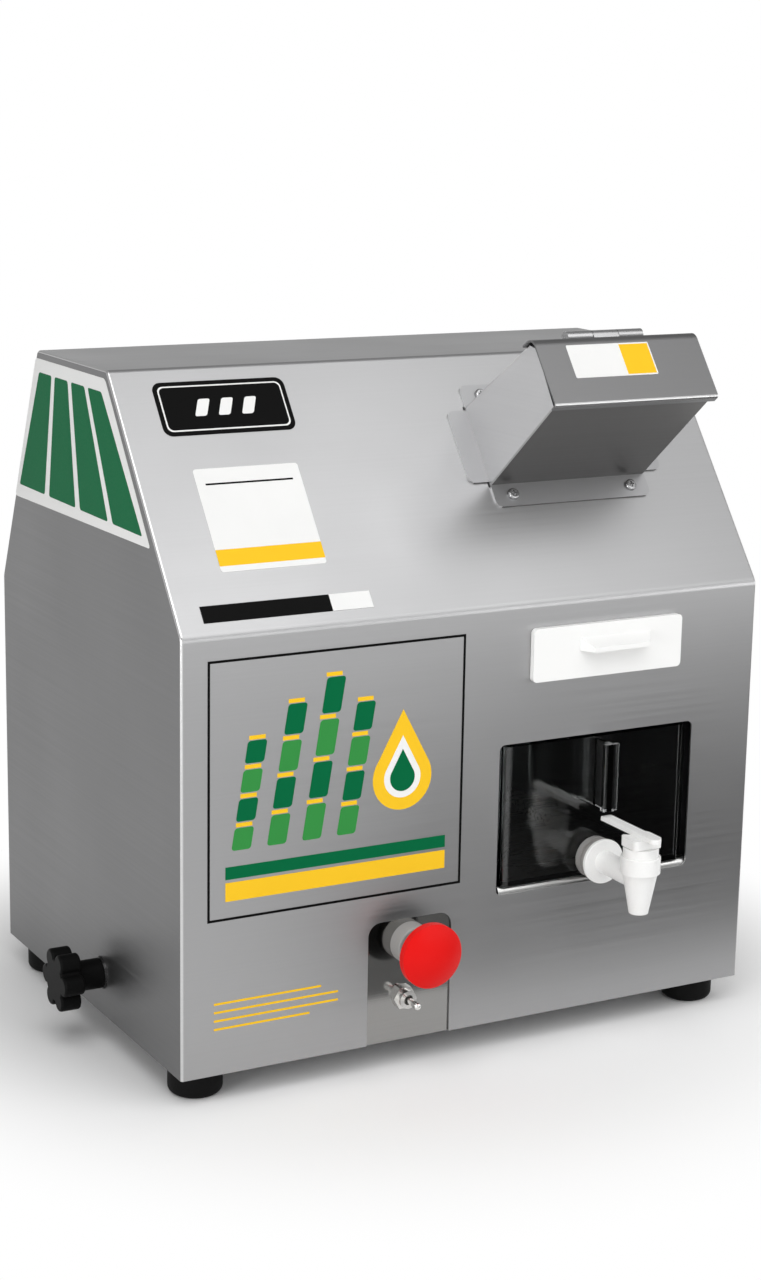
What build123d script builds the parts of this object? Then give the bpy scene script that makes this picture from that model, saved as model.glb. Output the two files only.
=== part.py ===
"""Table-top electric sugarcane juicer, modelled piece by piece in millimetres.

The front faces -Y, +X is on the viewer's right and +Z is up. The origin lies on the floor, under the
middle of the whole machine. Cane goes in through the chute on the front slope, three rollers press it,
the juice runs through the strainer drawer into the clear tank, and the dry fibre leaves at the rear.
"""
import os
from math import acos, asin, atan2, cos, degrees, pi, radians, sin, sqrt, tan

from build123d import *

# Hood of folded sheet
hood_width = 420.0
hood_depth = 300.0
hood_height = 425.0
front_height = 279.0
front_run = 111.0
rear_height = 262.0
rear_run = 71.0
sheet = 1.2
crease_radius = 8.0
bend_radius = 4.0
edge_radius = 1.8
seam_inset = 6.0

# Feet and base pan
foot_height = 20.0
foot_diameter = 35.0
foot_round = 5.0
foot_inset_x = 22.0
foot_inset_y = 28.0
foot_bore = 5.4
foot_counterbore = 11.0
foot_counterbore_depth = 8.0
pan_sheet = 1.5
pan_clearance = 0.4
pan_flange_height = 55.0
pan_lip_height = 14.0
screw_clearance = 0.3

# Star knobs that hold the hood to the base pan
knob_y = -22.0
knob_rise = 28.0
knob_diameter = 42.0
knob_lobes = 6
knob_lobe_radius = 6.5
knob_thickness = 14.0
knob_hub_diameter = 20.0
knob_hub_length = 17.5
knob_round = 1.6
stud_diameter = 8.0
stud_reach = 20.0
washer_thickness = 1.5
washer_diameter = 22.0
weld_nut_flats = 13.0
weld_nut_thickness = 6.5

# Switch panel, stop button and toggle switch
switch_x = -50.5
notch_width = 60.5
notch_height = 82.0
notch_radius = 9.0
panel_gap = 0.3
panel_width = 84.0
panel_height = 96.0
panel_foot = 20.0
stop_rise = 65.5
stop_collar_diameter = 27.0
stop_collar_length = 11.5
stop_barrel_diameter = 22.0
stop_barrel_length = 13.0
stop_stem_diameter = 14.0
stop_travel = 5.0
stop_head_diameter = 42.0
stop_head_back = 28.0
stop_head_cone = 9.0
stop_head_rim = 5.0
stop_head_dome = 6.0
stop_block_width = 38.0
stop_block_height = 34.0
stop_block_depth = 36.0
toggle_rise = 29.2
toggle_offset = -3.8
toggle_bush_diameter = 11.8
toggle_bush_length = 8.0
toggle_nut_flats = 14.0
toggle_nut_thickness = 3.5
toggle_body_width = 28.0
toggle_body_height = 14.0
toggle_body_depth = 24.0
toggle_ball_diameter = 6.0
toggle_bore = 6.6
toggle_lever_length = 18.0
toggle_neck_diameter = 3.2
toggle_tip_diameter = 5.2

# Feed chute and flap, measured up the front slope from its crease and outwards from it
mill_x = 90.5
chute_width = 119.0
chute_low = 85.0
chute_rise = 58.0
chute_out = 95.0
chute_slant = 3.0
chute_low_taper = 4.0
chute_high_taper = 8.0
chute_inside = 34.0
chute_sheet = 1.5
chute_fold = 1.2
chute_opening_gap = 1.0
chute_tab = 15.0
chute_tab_short = 8.0
chute_tab_radius = 5.0
chute_screw_spread = 91.0
flap_sheet = 1.2
flap_width = 122.4
flap_gap = 0.9
flap_top_gap = 0.4
flap_drop = 1.0
flap_lip = 4.5
flap_bend = 6.0
hinge_width = 57.0
hinge_set_back = 8.0
hinge_leaf = 1.2
hinge_leaf_depth = 13.0
hinge_barrel = 8.0
hinge_pin_diameter = 4.0
hinge_knuckle_gap = 0.4
screw_diameter = 4.0
screw_head = 8.0
screw_head_height = 2.6
screw_length = 7.0
screw_recess = 4.2
screw_recess_width = 1.0
screw_recess_depth = 1.2

# Rollers and their equal crown gears
nip_depth = 68.0
crown_module = 3.0
crown_teeth = 20
crown_width = 14.0
top_roller_diameter = 58.0
feed_gap = 3.5
discharge_gap = 2.0
mill_angle = 69.5
roller_length = 120.0
roller_flutes = 24
flute_radius = 1.2
roller_shaft = 20.0
cheek_thickness = 8.0
cheek_inset = 12.0
crown_gap = 3.0
trash_clearance = 1.2
scraper_thickness = 2.0
scraper_angle = 42.0
scraper_clearance = 1.0

# Reduction gears, pulleys, belt and motor
gear_plate_thickness = 6.0
gear_room = 46.0
gear_gap = 4.0
gear_boss = 24.0
gear_leg_width = 84.0
gear_foot = 18.0
drive_shaft = 16.0
final_module = 2.0
final_pinion_teeth = 17
bull_teeth = 58
final_width = 16.0
final_angle = -20.0
first_module = 1.5
first_pinion_teeth = 17
first_gear_teeth = 64
first_width = 12.0
first_angle = 250.0
pressure_angle = 20.0
gear_backlash = 0.2
pulley_gap = 8.0
pulley_width = 18.0
pulley_flange = 2.5
pulley_flange_rise = 4.0
large_pulley_radius = 70.0
motor_pulley_radius = 21.0
pulley_web = 6.0
pulley_hub_diameter = 34.0
pulley_hole_diameter = 26.0
belt_thickness = 5.0
belt_width = 12.0
belt_clearance = 0.2
motor_y = 40.0
motor_rise = 88.0
motor_diameter = 116.0
motor_length = 120.0
motor_gap = 8.0
motor_bore = 80.0
motor_end_wall = 10.0
motor_rotor_gap = 1.0
motor_foot_width = 90.0
motor_foot_length = 26.0
bush_wall = 4.0
running_fit = 0.05

# Tie rods between the cheeks
rod_diameter = 12.0
rod_stud_diameter = 8.0
rod_head_diameter = 13.0
rod_head_height = 4.0
rod_margin = 22.0

# Strainer drawer, its rails and the juice funnel
drawer_width = 114.0
drawer_height = 35.0
drawer_bottom = 228.0
drawer_front_thickness = 4.0
drawer_front_radius = 3.0
drawer_front_gap = 0.3
drawer_overlap = 3.0
drawer_slot_gap = 1.2
drawer_depth = 205.0
drawer_wall = 2.0
drawer_grip_width = 54.0
drawer_grip_height = 8.5
drawer_grip_reach = 9.0
drawer_grip_rise = 18.0
drawer_grip_shift = 5.0
drawer_grip_taper = 6.0
drawer_grip_lip = 3.2
drawer_grip_wall = 1.8
strainer_thickness = 1.0
strainer_ledge = 6.0
strainer_hole = 3.0
strainer_pitch = 6.0
strainer_margin = 8.0
rail_sheet = 2.0
rail_height = 16.0
rail_lap = 8.0
slide_gap = 0.3
funnel_sheet = 1.2
funnel_rim_height = 4.0
funnel_depth = 24.0
funnel_outlet = 26.0
funnel_front = 42.0

# Juice tank, its handle and its shelf
tank_x = 87.5
window_side_gap = 4.0
window_sill_gap = 5.0
window_head_gap = 2.0
window_radius = 4.0
tank_width = 141.5
tank_height = 94.0
tank_bottom = 92.0
tank_depth = 190.0
tank_wall = 3.0
tank_radius = 6.0
tank_side_gap = 1.25
handle_height = 45.0
handle_reach = 18.0
handle_width = 11.0
handle_flange = 3.5
handle_fin = 4.0
handle_drop = 1.5
shelf_sheet = 1.5
shelf_runner = 10.0
shelf_depth = 205.0
shelf_lip = 7.0
shelf_lip_radius = 4.0

# Tap on the front of the tank
tap_rise = 11.6
tap_axis_reach = 54.0
tap_tail_diameter = 10.0
tap_tail_length = 8.0
tap_bore = 6.0
tap_hole_gap = 0.4
tap_nut_flats = 14.0
tap_nut_thickness = 4.0
gasket_diameter = 28.0
gasket_neck_diameter = 25.0
gasket_thickness = 10.0
tap_flange_diameter = 30.0
tap_flange_thickness = 3.0
tap_neck_diameter = 15.0
tap_body_diameter = 23.0
tap_ring_diameter = 26.0
tap_spout_diameter = 12.6
tap_spout_drop = 22.0
tap_ring_low = 5.5
tap_ring_height = 11.0
tap_cap_height = 6.0
tap_plug_diameter = 12.0
tap_plug_drop = 6.0
tap_spout_bore = 8.0
tap_stem_diameter = 6.0
lever_gap = 0.3
lever_saddle_width = 21.0
lever_saddle_depth = 18.0
lever_saddle_hollow = 3.0
lever_saddle_height = 6.2
lever_thickness = 3.0
lever_width = 8.0
lever_nose = 19.0
lever_tail = 41.0

# Fibre outlet on the rear slope
outlet_low = 41.5
outlet_high = 150.5
outlet_width = 119.0
outlet_reach = 73.0
outlet_shoulder = 18.0
outlet_shoulder_drop = 8.0
outlet_brow_drop = 70.0
outlet_tab = 12.0
outlet_sheet = 1.2
outlet_opening_gap = 2.5
outlet_screw_inset = 24.0

# Cord gland on the back wall
gland_x = -150.0
gland_rise = 40.0
gland_thread = 16.0
gland_flats = 22.0
gland_body = 7.0
gland_cap_diameter = 20.0
gland_cap_length = 12.0
gland_bore = 8.0
gland_nut = 5.0

# Places that follow from the sizes above
y_front = -hood_depth / 2 + (tap_axis_reach + lever_nose - outlet_reach) / 2
y_back = y_front + hood_depth
z_hood = foot_height
z_crease = z_hood + front_height
z_top = z_hood + hood_height
z_rear = z_hood + rear_height
z_pan = z_hood + pan_sheet
x_side = hood_width / 2
front_rise = hood_height - front_height
front_slope = sqrt(front_run**2 + front_rise**2)
rear_rise = hood_height - rear_height
rear_slope = sqrt(rear_run**2 + rear_rise**2)
crease = Vector(0, y_front, z_crease)
slope_up = Vector(0, front_run, front_rise) / front_slope
slope_out = Vector(0, -front_rise, front_run) / front_slope
rear_crease = Vector(0, y_back, z_rear)
rear_up = Vector(0, -rear_run, rear_rise) / rear_slope
rear_out = Vector(0, rear_rise, rear_run) / rear_slope
front_plane = Plane(origin=(0, y_front, 0), x_dir=(1, 0, 0), z_dir=(0, -1, 0))
back_plane = Plane(origin=(0, y_back, 0), x_dir=(-1, 0, 0), z_dir=(0, 1, 0))
slope_plane = Plane(origin=crease, x_dir=(1, 0, 0), z_dir=slope_out)
rear_plane = Plane(origin=rear_crease, x_dir=(-1, 0, 0), z_dir=rear_out)

window_width = tank_width + 2 * window_side_gap
window_height = tank_height + window_sill_gap + window_head_gap
window_bottom = tank_bottom - window_sill_gap
cheek_gap = tank_width + 2 * tank_side_gap + 2 * abs(mill_x - tank_x)
cheek_left = mill_x - cheek_gap / 2
cheek_right = mill_x + cheek_gap / 2
gear_plate_x = cheek_left - cheek_thickness - gear_room - gear_plate_thickness
first_x = gear_plate_x + gear_plate_thickness + gear_gap
final_x = cheek_left - cheek_thickness - gear_gap * 2 - final_width
pulley_x = gear_plate_x - pulley_gap - pulley_width
crown_x = cheek_right + cheek_thickness + crown_gap
motor_x = pulley_x - motor_gap - motor_length

crown_pitch = crown_module * crown_teeth
top_radius = top_roller_diameter / 2
feed_radius = crown_pitch - top_radius - feed_gap
discharge_radius = crown_pitch - top_radius - discharge_gap
nip = crease + slope_up * (chute_low + chute_rise / 2) - slope_out * nip_depth
top_centre = nip + slope_up * (top_radius + feed_gap / 2)


def from_centre(centre, distance, angle):
    """Point at a distance from a shaft centre, with the angle taken from +Y towards +Z."""
    return centre + Vector(0, cos(radians(angle)), sin(radians(angle))) * distance


feed_angle = degrees(atan2(-slope_up.Z, -slope_up.Y))
discharge_angle = feed_angle + mill_angle
feed_centre = from_centre(top_centre, crown_pitch, feed_angle)
discharge_centre = from_centre(top_centre, crown_pitch, discharge_angle)
final_distance = final_module * (final_pinion_teeth + bull_teeth) / 2
first_distance = first_module * (first_pinion_teeth + first_gear_teeth) / 2
second_centre = from_centre(top_centre, final_distance, final_angle)
first_centre = from_centre(second_centre, first_distance, first_angle)
motor_centre = Vector(0, motor_y, z_pan + motor_rise)
roller_centres = [top_centre, feed_centre, discharge_centre]
drive_centres = [first_centre, second_centre]


def yz(point):
    """The Y and Z of a point, for a sketch drawn across the machine."""
    return (point.Y, point.Z)


def across(x):
    """Plane across the machine at x, drawn in Y and Z."""
    return Plane.YZ.offset(x)


def chute_side(x):
    """Plane across the machine at x, drawn up the front slope and outwards from it."""
    return Plane(origin=crease + Vector(x, 0, 0), x_dir=slope_up, z_dir=(1, 0, 0))


def rear_at(distance):
    """Point on the rear slope, measured up from its crease."""
    return rear_crease + rear_up * distance


def meshing_phase(centre_angle, teeth, mate_teeth, phase):
    """Angle of one tooth of a gear that meshes with a mate, both angles in degrees."""
    return centre_angle + 180 + 180 / mate_teeth - teeth / mate_teeth * (phase - centre_angle)


def polar(radius, angle, centre=(0, 0)):
    """Point at a radius and an angle in radians round a centre."""
    return (centre[0] + radius * cos(angle), centre[1] + radius * sin(angle))


def gear_face(plane, centre, module, teeth, phase):
    """Spur gear outline with involute flanks, one tooth standing at the phase angle in degrees."""
    pressure = radians(pressure_angle)
    pitch_radius = module * teeth / 2
    base_radius = pitch_radius * cos(pressure)
    root_radius = pitch_radius - 1.25 * module
    tip_radius = pitch_radius + module
    start_radius = max(base_radius, root_radius)
    middle_radius = (start_radius + tip_radius) / 2
    half_tooth = pi / (2 * teeth) - gear_backlash / (4 * pitch_radius)

    def half_angle(radius):
        """Half of the tooth's angle at a radius."""
        roll = acos(base_radius / radius)
        return half_tooth + tan(pressure) - pressure - tan(roll) + roll

    middle = yz(centre)
    step = 2 * pi / teeth
    with BuildSketch(plane) as face:
        with BuildLine():
            for index in range(teeth):
                axis = radians(phase) + index * step
                foot = half_angle(start_radius)
                waist = half_angle(middle_radius)
                crest = half_angle(tip_radius)
                rise_root = polar(root_radius, axis - foot, middle)
                rise_start = polar(start_radius, axis - foot, middle)
                rise_middle = polar(middle_radius, axis - waist, middle)
                rise_tip = polar(tip_radius, axis - crest, middle)
                fall_tip = polar(tip_radius, axis + crest, middle)
                fall_middle = polar(middle_radius, axis + waist, middle)
                fall_start = polar(start_radius, axis + foot, middle)
                fall_root = polar(root_radius, axis + foot, middle)
                next_root = polar(root_radius, axis + step - foot, middle)
                if start_radius > root_radius:
                    Line(rise_root, rise_start)
                    Line(fall_start, fall_root)
                ThreePointArc(rise_start, rise_middle, rise_tip)
                ThreePointArc(rise_tip, polar(tip_radius, axis, middle), fall_tip)
                ThreePointArc(fall_tip, fall_middle, fall_start)
                ThreePointArc(fall_root, polar(root_radius, axis + step / 2, middle), next_root)
        make_face()
    return face.sketch


def hood_outline(plane, inset):
    """Outline of the hood's side, moved inwards by an inset but for its level bottom edge."""
    with BuildSketch(plane) as outline:
        with BuildLine():
            Polyline(
                (y_front, z_pan - inset),
                (y_front, z_crease),
                (y_front + front_run, z_top),
                (y_back - rear_run, z_top),
                (y_back, z_rear),
                (y_back, z_pan - inset),
                close=True,
            )
        make_face()
        offset(amount=-inset, kind=Kind.INTERSECTION)
    return outline.sketch


# Whole hood before it is parted at its seams
slot_width = drawer_width - 2 * drawer_overlap
slot_height = drawer_height - 2 * drawer_overlap
slot_mid = z_hood + drawer_bottom + drawer_height / 2
chute_mid = chute_low + chute_rise / 2
tab_screw_low = chute_low - chute_tab_short
tab_screw_high = chute_low + chute_rise + chute_tab_short
outlet_mid = (outlet_low + outlet_high) / 2
outlet_screw_x = outlet_width / 2 + outlet_tab / 2
outlet_screw_half = (outlet_high - outlet_low) / 2 - outlet_screw_inset
chute_screw_places = [
    (mill_x - chute_screw_spread / 2, tab_screw_low),
    (mill_x + chute_screw_spread / 2, tab_screw_low),
    (mill_x - chute_screw_spread / 2, tab_screw_high),
    (mill_x + chute_screw_spread / 2, tab_screw_high),
]
outlet_screw_places = [
    (-mill_x - outlet_screw_x, outlet_mid - outlet_screw_half),
    (-mill_x + outlet_screw_x, outlet_mid - outlet_screw_half),
    (-mill_x - outlet_screw_x, outlet_mid + outlet_screw_half),
    (-mill_x + outlet_screw_x, outlet_mid + outlet_screw_half),
]
cut_depth = sheet * 4

with BuildPart() as hood_shell:
    with BuildSketch(Plane.YZ):
        with BuildLine():
            FilletPolyline(
                (y_front, z_hood),
                (y_front, z_crease),
                (y_front + front_run, z_top),
                (y_back - rear_run, z_top),
                (y_back, z_rear),
                (y_back, z_hood),
                radius=[crease_radius, bend_radius, bend_radius, crease_radius],
            )
            Line((y_back, z_hood), (y_front, z_hood))
        make_face()
    extrude(amount=x_side, both=True)
    side_rims = faces().filter_by(Axis.X).edges().filter_by(lambda rim: rim.center().Z > z_hood + sheet)
    fillet(side_rims, radius=edge_radius)
    offset(amount=-sheet, openings=faces().sort_by(Axis.Z)[0])
    with BuildSketch(front_plane):
        with Locations((tank_x, z_hood + window_bottom + window_height / 2)):
            RectangleRounded(window_width, window_height, window_radius)
        with Locations((mill_x, slot_mid)):
            Rectangle(slot_width, slot_height)
        with Locations((switch_x, z_hood)):
            RectangleRounded(notch_width, notch_height * 2, notch_radius)
    extrude(amount=-cut_depth, mode=Mode.SUBTRACT)
    with BuildSketch(slope_plane):
        with Locations((mill_x, chute_mid)):
            Rectangle(chute_width + 2 * chute_opening_gap, chute_rise + 2 * chute_opening_gap)
        with Locations(*chute_screw_places):
            Circle(screw_diameter / 2 + screw_clearance / 2)
    extrude(amount=-cut_depth, mode=Mode.SUBTRACT)
    with BuildSketch(rear_plane):
        with Locations((-mill_x, outlet_mid)):
            Rectangle(
                outlet_width - 2 * outlet_opening_gap,
                outlet_high - outlet_low - 2 * outlet_opening_gap,
            )
        with Locations(*outlet_screw_places):
            Circle(screw_diameter / 2 + screw_clearance / 2)
    extrude(amount=-cut_depth, mode=Mode.SUBTRACT)
    with BuildSketch(back_plane):
        with Locations((-gland_x, z_hood + gland_rise)):
            Circle(gland_thread / 2)
    extrude(amount=-cut_depth, mode=Mode.SUBTRACT)
    with BuildSketch(Plane.YZ):
        with Locations((knob_y, z_hood + knob_rise)):
            Circle(stud_diameter / 2 + screw_clearance)
    extrude(amount=hood_width, both=True, mode=Mode.SUBTRACT)

with BuildPart() as hood_wrap:
    add(hood_shell.part)
    with Locations((0, 0, z_top / 2)):
        Box(hood_width - 2 * seam_inset, hood_depth * 2, hood_height * 2, mode=Mode.INTERSECT)

with BuildPart() as hood_left_side:
    add(hood_shell.part)
    with Locations((-x_side, 0, z_top / 2)):
        Box(2 * seam_inset, hood_depth * 2, hood_height * 2, mode=Mode.INTERSECT)

with BuildPart() as hood_right_side:
    add(hood_shell.part)
    with Locations((x_side, 0, z_top / 2)):
        Box(2 * seam_inset, hood_depth * 2, hood_height * 2, mode=Mode.INTERSECT)

# Base pan with side flanges, rear lip and a weld nut for each knob
pan_half = x_side - sheet - pan_clearance
pan_front = y_front + sheet + panel_gap + pan_sheet
pan_back = y_back - sheet - pan_clearance
foot_span_x = hood_width - 2 * foot_inset_x
foot_span_y = hood_depth - 2 * foot_inset_y
foot_mid_y = (y_front + y_back) / 2

with BuildPart() as base_pan:
    with BuildSketch(Plane.XY.offset(z_hood)):
        with Locations((0, (pan_front + pan_back) / 2)):
            Rectangle(2 * pan_half, pan_back - pan_front)
        with Locations((0, foot_mid_y)):
            with GridLocations(foot_span_x, foot_span_y, 2, 2):
                Circle(foot_bore / 2, mode=Mode.SUBTRACT)
    extrude(amount=pan_sheet)
    with BuildSketch(Plane.XY.offset(z_hood)):
        for side in (-1, 1):
            with Locations((side * (pan_half - pan_sheet / 2), (pan_front + pan_back) / 2)):
                Rectangle(pan_sheet, pan_back - pan_front)
    extrude(amount=pan_flange_height)
    with BuildSketch(Plane.XY.offset(z_hood)):
        with Locations((0, pan_back - pan_sheet / 2)):
            Rectangle(2 * pan_half, pan_sheet)
    extrude(amount=pan_lip_height)
    for side in (-1, 1):
        with BuildSketch(across(side * (pan_half - pan_sheet - weld_nut_thickness / 2))):
            with Locations((knob_y, z_hood + knob_rise)):
                RegularPolygon(weld_nut_flats / 2, 6, major_radius=False)
        extrude(amount=weld_nut_thickness / 2, both=True)
    with BuildSketch(Plane.YZ):
        with Locations((knob_y, z_hood + knob_rise)):
            Circle(stud_diameter / 2 + running_fit)
    extrude(amount=hood_width, both=True, mode=Mode.SUBTRACT)

with BuildPart() as feet:
    with BuildSketch(Plane.XY):
        with Locations((0, foot_mid_y)):
            with GridLocations(foot_span_x, foot_span_y, 2, 2):
                Circle(foot_diameter / 2)
    extrude(amount=foot_height)
    fillet(edges().group_by(Axis.Z)[0], radius=foot_round)
    with BuildSketch(Plane.XY):
        with Locations((0, foot_mid_y)):
            with GridLocations(foot_span_x, foot_span_y, 2, 2):
                Circle(foot_counterbore / 2)
    extrude(amount=foot_counterbore_depth, mode=Mode.SUBTRACT)
    with BuildSketch(Plane.XY):
        with Locations((0, foot_mid_y)):
            with GridLocations(foot_span_x, foot_span_y, 2, 2):
                Circle(foot_bore / 2)
    extrude(amount=foot_height, mode=Mode.SUBTRACT)

foot_screw_diameter = foot_bore - screw_clearance
foot_screw_head = foot_counterbore - 4 * screw_clearance
foot_screw_head_height = foot_counterbore_depth / 2
foot_nut_thickness = foot_screw_diameter * 0.8

with BuildPart() as foot_screws:
    with BuildSketch(Plane.XY.offset(foot_counterbore_depth)):
        with Locations((0, foot_mid_y)):
            with GridLocations(foot_span_x, foot_span_y, 2, 2):
                Circle(foot_screw_head / 2)
    extrude(amount=-foot_screw_head_height)
    with BuildSketch(Plane.XY.offset(foot_counterbore_depth)):
        with Locations((0, foot_mid_y)):
            with GridLocations(foot_span_x, foot_span_y, 2, 2):
                Circle(foot_screw_diameter / 2)
    extrude(amount=z_pan + foot_nut_thickness + screw_clearance - foot_counterbore_depth)
    with BuildSketch(Plane.XY.offset(z_pan)):
        with Locations((0, foot_mid_y)):
            with GridLocations(foot_span_x, foot_span_y, 2, 2):
                RegularPolygon(foot_screw_head / 2, 6, major_radius=False)
    extrude(amount=foot_nut_thickness)


def star_knob(side):
    """Star knob with its moulded stud on the left (-1) or right (1) side panel."""
    face_x = side * (x_side + washer_thickness)
    seat = Plane(origin=(face_x, knob_y, z_hood + knob_rise), x_dir=(0, 1, 0), z_dir=(side, 0, 0))
    lobe_circle = knob_diameter / 2 - knob_lobe_radius
    with BuildPart() as knob:
        with BuildSketch(seat.offset(knob_hub_length)):
            Circle(lobe_circle)
            with PolarLocations(lobe_circle, knob_lobes):
                Circle(knob_lobe_radius)
        extrude(amount=knob_thickness)
        fillet(faces().filter_by(Axis.X).edges(), radius=knob_round)
        with BuildSketch(seat):
            Circle(knob_hub_diameter / 2)
        extrude(amount=knob_hub_length + knob_round * 2)
        with BuildSketch(seat):
            Circle(stud_diameter / 2)
        extrude(amount=-stud_reach)
    return knob


def knob_washer(side):
    """Plain washer between a star knob and its side panel."""
    with BuildPart() as washer:
        with BuildSketch(across(side * (x_side + washer_thickness / 2))):
            with Locations((knob_y, z_hood + knob_rise)):
                Circle(washer_diameter / 2)
                Circle(stud_diameter / 2 + running_fit, mode=Mode.SUBTRACT)
        extrude(amount=washer_thickness / 2, both=True)
    return washer


knob_left = star_knob(-1)
knob_right = star_knob(1)
knob_left_washer = knob_washer(-1)
knob_right_washer = knob_washer(1)

# Switch panel behind the notch, with its foot on the base pan
panel_plane = front_plane.offset(-sheet - panel_gap)
panel_back = panel_plane.offset(-pan_sheet)
stop_z = z_hood + stop_rise
toggle_x = switch_x + toggle_offset
toggle_z = z_hood + toggle_rise

with BuildPart() as switch_panel:
    with BuildSketch(panel_back):
        with Locations((switch_x, z_hood + panel_height / 2)):
            Rectangle(panel_width, panel_height)
        with Locations((switch_x, stop_z)):
            Circle(stop_barrel_diameter / 2, mode=Mode.SUBTRACT)
        with Locations((toggle_x, toggle_z)):
            Circle(toggle_bush_diameter / 2, mode=Mode.SUBTRACT)
    extrude(amount=pan_sheet)
    with BuildSketch(Plane.XY.offset(z_pan)):
        with Locations((switch_x, pan_front)):
            Rectangle(panel_width, panel_foot, align=(Align.CENTER, Align.MIN))
    extrude(amount=pan_sheet)

with BuildPart() as estop_collar:
    with BuildSketch(panel_plane):
        with Locations((switch_x, stop_z)):
            Circle(stop_collar_diameter / 2)
    extrude(amount=stop_collar_length)
    fillet(faces().sort_by(Axis.Y)[0].edges(), radius=screw_clearance * 5)
    with BuildSketch(panel_plane):
        with Locations((switch_x, stop_z)):
            Circle(stop_barrel_diameter / 2)
    extrude(amount=-stop_barrel_length)
    with BuildSketch(panel_plane):
        with Locations((switch_x, stop_z)):
            Circle(stop_stem_diameter / 2 + running_fit)
    extrude(amount=stop_collar_length + stop_barrel_length, both=True, mode=Mode.SUBTRACT)

stop_head_plane = panel_plane.offset(stop_collar_length + stop_travel + slide_gap)
stop_barrel_end = panel_plane.offset(-stop_barrel_length)

with BuildPart() as estop_contact_block:
    with BuildSketch(stop_barrel_end):
        with Locations((switch_x, stop_z)):
            Rectangle(stop_block_width, stop_block_height)
    extrude(amount=-stop_block_depth)
    with BuildSketch(stop_barrel_end):
        with Locations((switch_x, stop_z)):
            Circle(stop_stem_diameter / 2 + slide_gap)
    extrude(amount=-stop_travel * 2, mode=Mode.SUBTRACT)

with BuildPart() as estop_stem:
    with BuildSketch(stop_barrel_end):
        with Locations((switch_x, stop_z)):
            Circle(stop_stem_diameter / 2)
    extrude(amount=stop_barrel_length + stop_collar_length + stop_travel + slide_gap)

stop_dome_start = stop_head_cone + stop_head_rim
stop_head_depth = stop_dome_start + stop_head_dome
stop_dome_radius = ((stop_head_diameter / 2) ** 2 + stop_head_dome**2) / (2 * stop_head_dome)
stop_dome_angle = asin(stop_head_diameter / 2 / stop_dome_radius) / 2
stop_dome_middle = (
    stop_dome_radius * sin(stop_dome_angle),
    stop_dome_radius * (1 - cos(stop_dome_angle)) - stop_head_depth,
)
stop_head_origin = stop_head_plane.from_local_coords((switch_x, stop_z, 0))
stop_head_axis = Plane(origin=stop_head_origin, x_dir=(1, 0, 0), z_dir=(0, 0, 1))

with BuildPart() as estop_button:
    with BuildSketch(stop_head_axis):
        with BuildLine():
            Polyline(
                (0, -stop_head_depth),
                (0, 0),
                (stop_head_back / 2, 0),
                (stop_head_diameter / 2, -stop_head_cone),
                (stop_head_diameter / 2, -stop_dome_start),
            )
            ThreePointArc(
                (stop_head_diameter / 2, -stop_dome_start),
                stop_dome_middle,
                (0, -stop_head_depth),
            )
        make_face()
    revolve(axis=Axis(stop_head_origin, (0, 1, 0)))

with BuildPart() as toggle_body:
    with BuildSketch(panel_back):
        with Locations((toggle_x, toggle_z)):
            Rectangle(toggle_body_width, toggle_body_height)
    extrude(amount=-toggle_body_depth)
    with BuildSketch(panel_back):
        with Locations((toggle_x, toggle_z)):
            Circle(toggle_bush_diameter / 2)
    extrude(amount=pan_sheet + toggle_bush_length)
    with BuildSketch(panel_plane.offset(toggle_bush_length)):
        with Locations((toggle_x, toggle_z)):
            Circle(toggle_bore / 2)
    extrude(amount=-toggle_bush_length, mode=Mode.SUBTRACT)

with BuildPart() as toggle_nut:
    with BuildSketch(panel_plane):
        with Locations((toggle_x, toggle_z)):
            RegularPolygon(toggle_nut_flats / 2, 6, major_radius=False)
            Circle(toggle_bush_diameter / 2, mode=Mode.SUBTRACT)
    extrude(amount=toggle_nut_thickness)

toggle_pivot_out = toggle_bush_length / 2
toggle_pivot = panel_plane.from_local_coords((toggle_x, toggle_z, toggle_pivot_out))
toggle_tip_out = toggle_pivot_out + toggle_lever_length - toggle_tip_diameter / 2
toggle_tip = panel_plane.from_local_coords((toggle_x, toggle_z, toggle_tip_out))

with BuildPart() as toggle_lever:
    with BuildSketch(panel_plane.offset(toggle_pivot_out)):
        with Locations((toggle_x, toggle_z)):
            Circle(toggle_neck_diameter / 2)
    with BuildSketch(panel_plane.offset(toggle_tip_out)):
        with Locations((toggle_x, toggle_z)):
            Circle(toggle_tip_diameter / 2)
    loft()
    with Locations(toggle_pivot):
        Sphere(toggle_ball_diameter / 2)
    with Locations(toggle_tip):
        Sphere(toggle_tip_diameter / 2)

# Feed chute: four walls through the slope that draw in towards the mouth, with bolt tabs outside
chute_high = chute_low + chute_rise
chute_reach = chute_out + chute_slant
mouth_low = chute_low + chute_low_taper
mouth_high = chute_high - chute_high_taper
mouth_rise = mouth_high - mouth_low
tab_side_length = chute_rise - chute_tab_radius


def duct_outline(inset):
    """Side view of the chute's walls, drawn in by a distance."""
    return [
        (chute_low + inset, -chute_inside),
        (chute_low + inset, 0),
        (mouth_low + inset, chute_reach),
        (mouth_high - inset, chute_reach),
        (chute_high - inset, 0),
        (chute_high - inset, -chute_inside),
    ]


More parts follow.
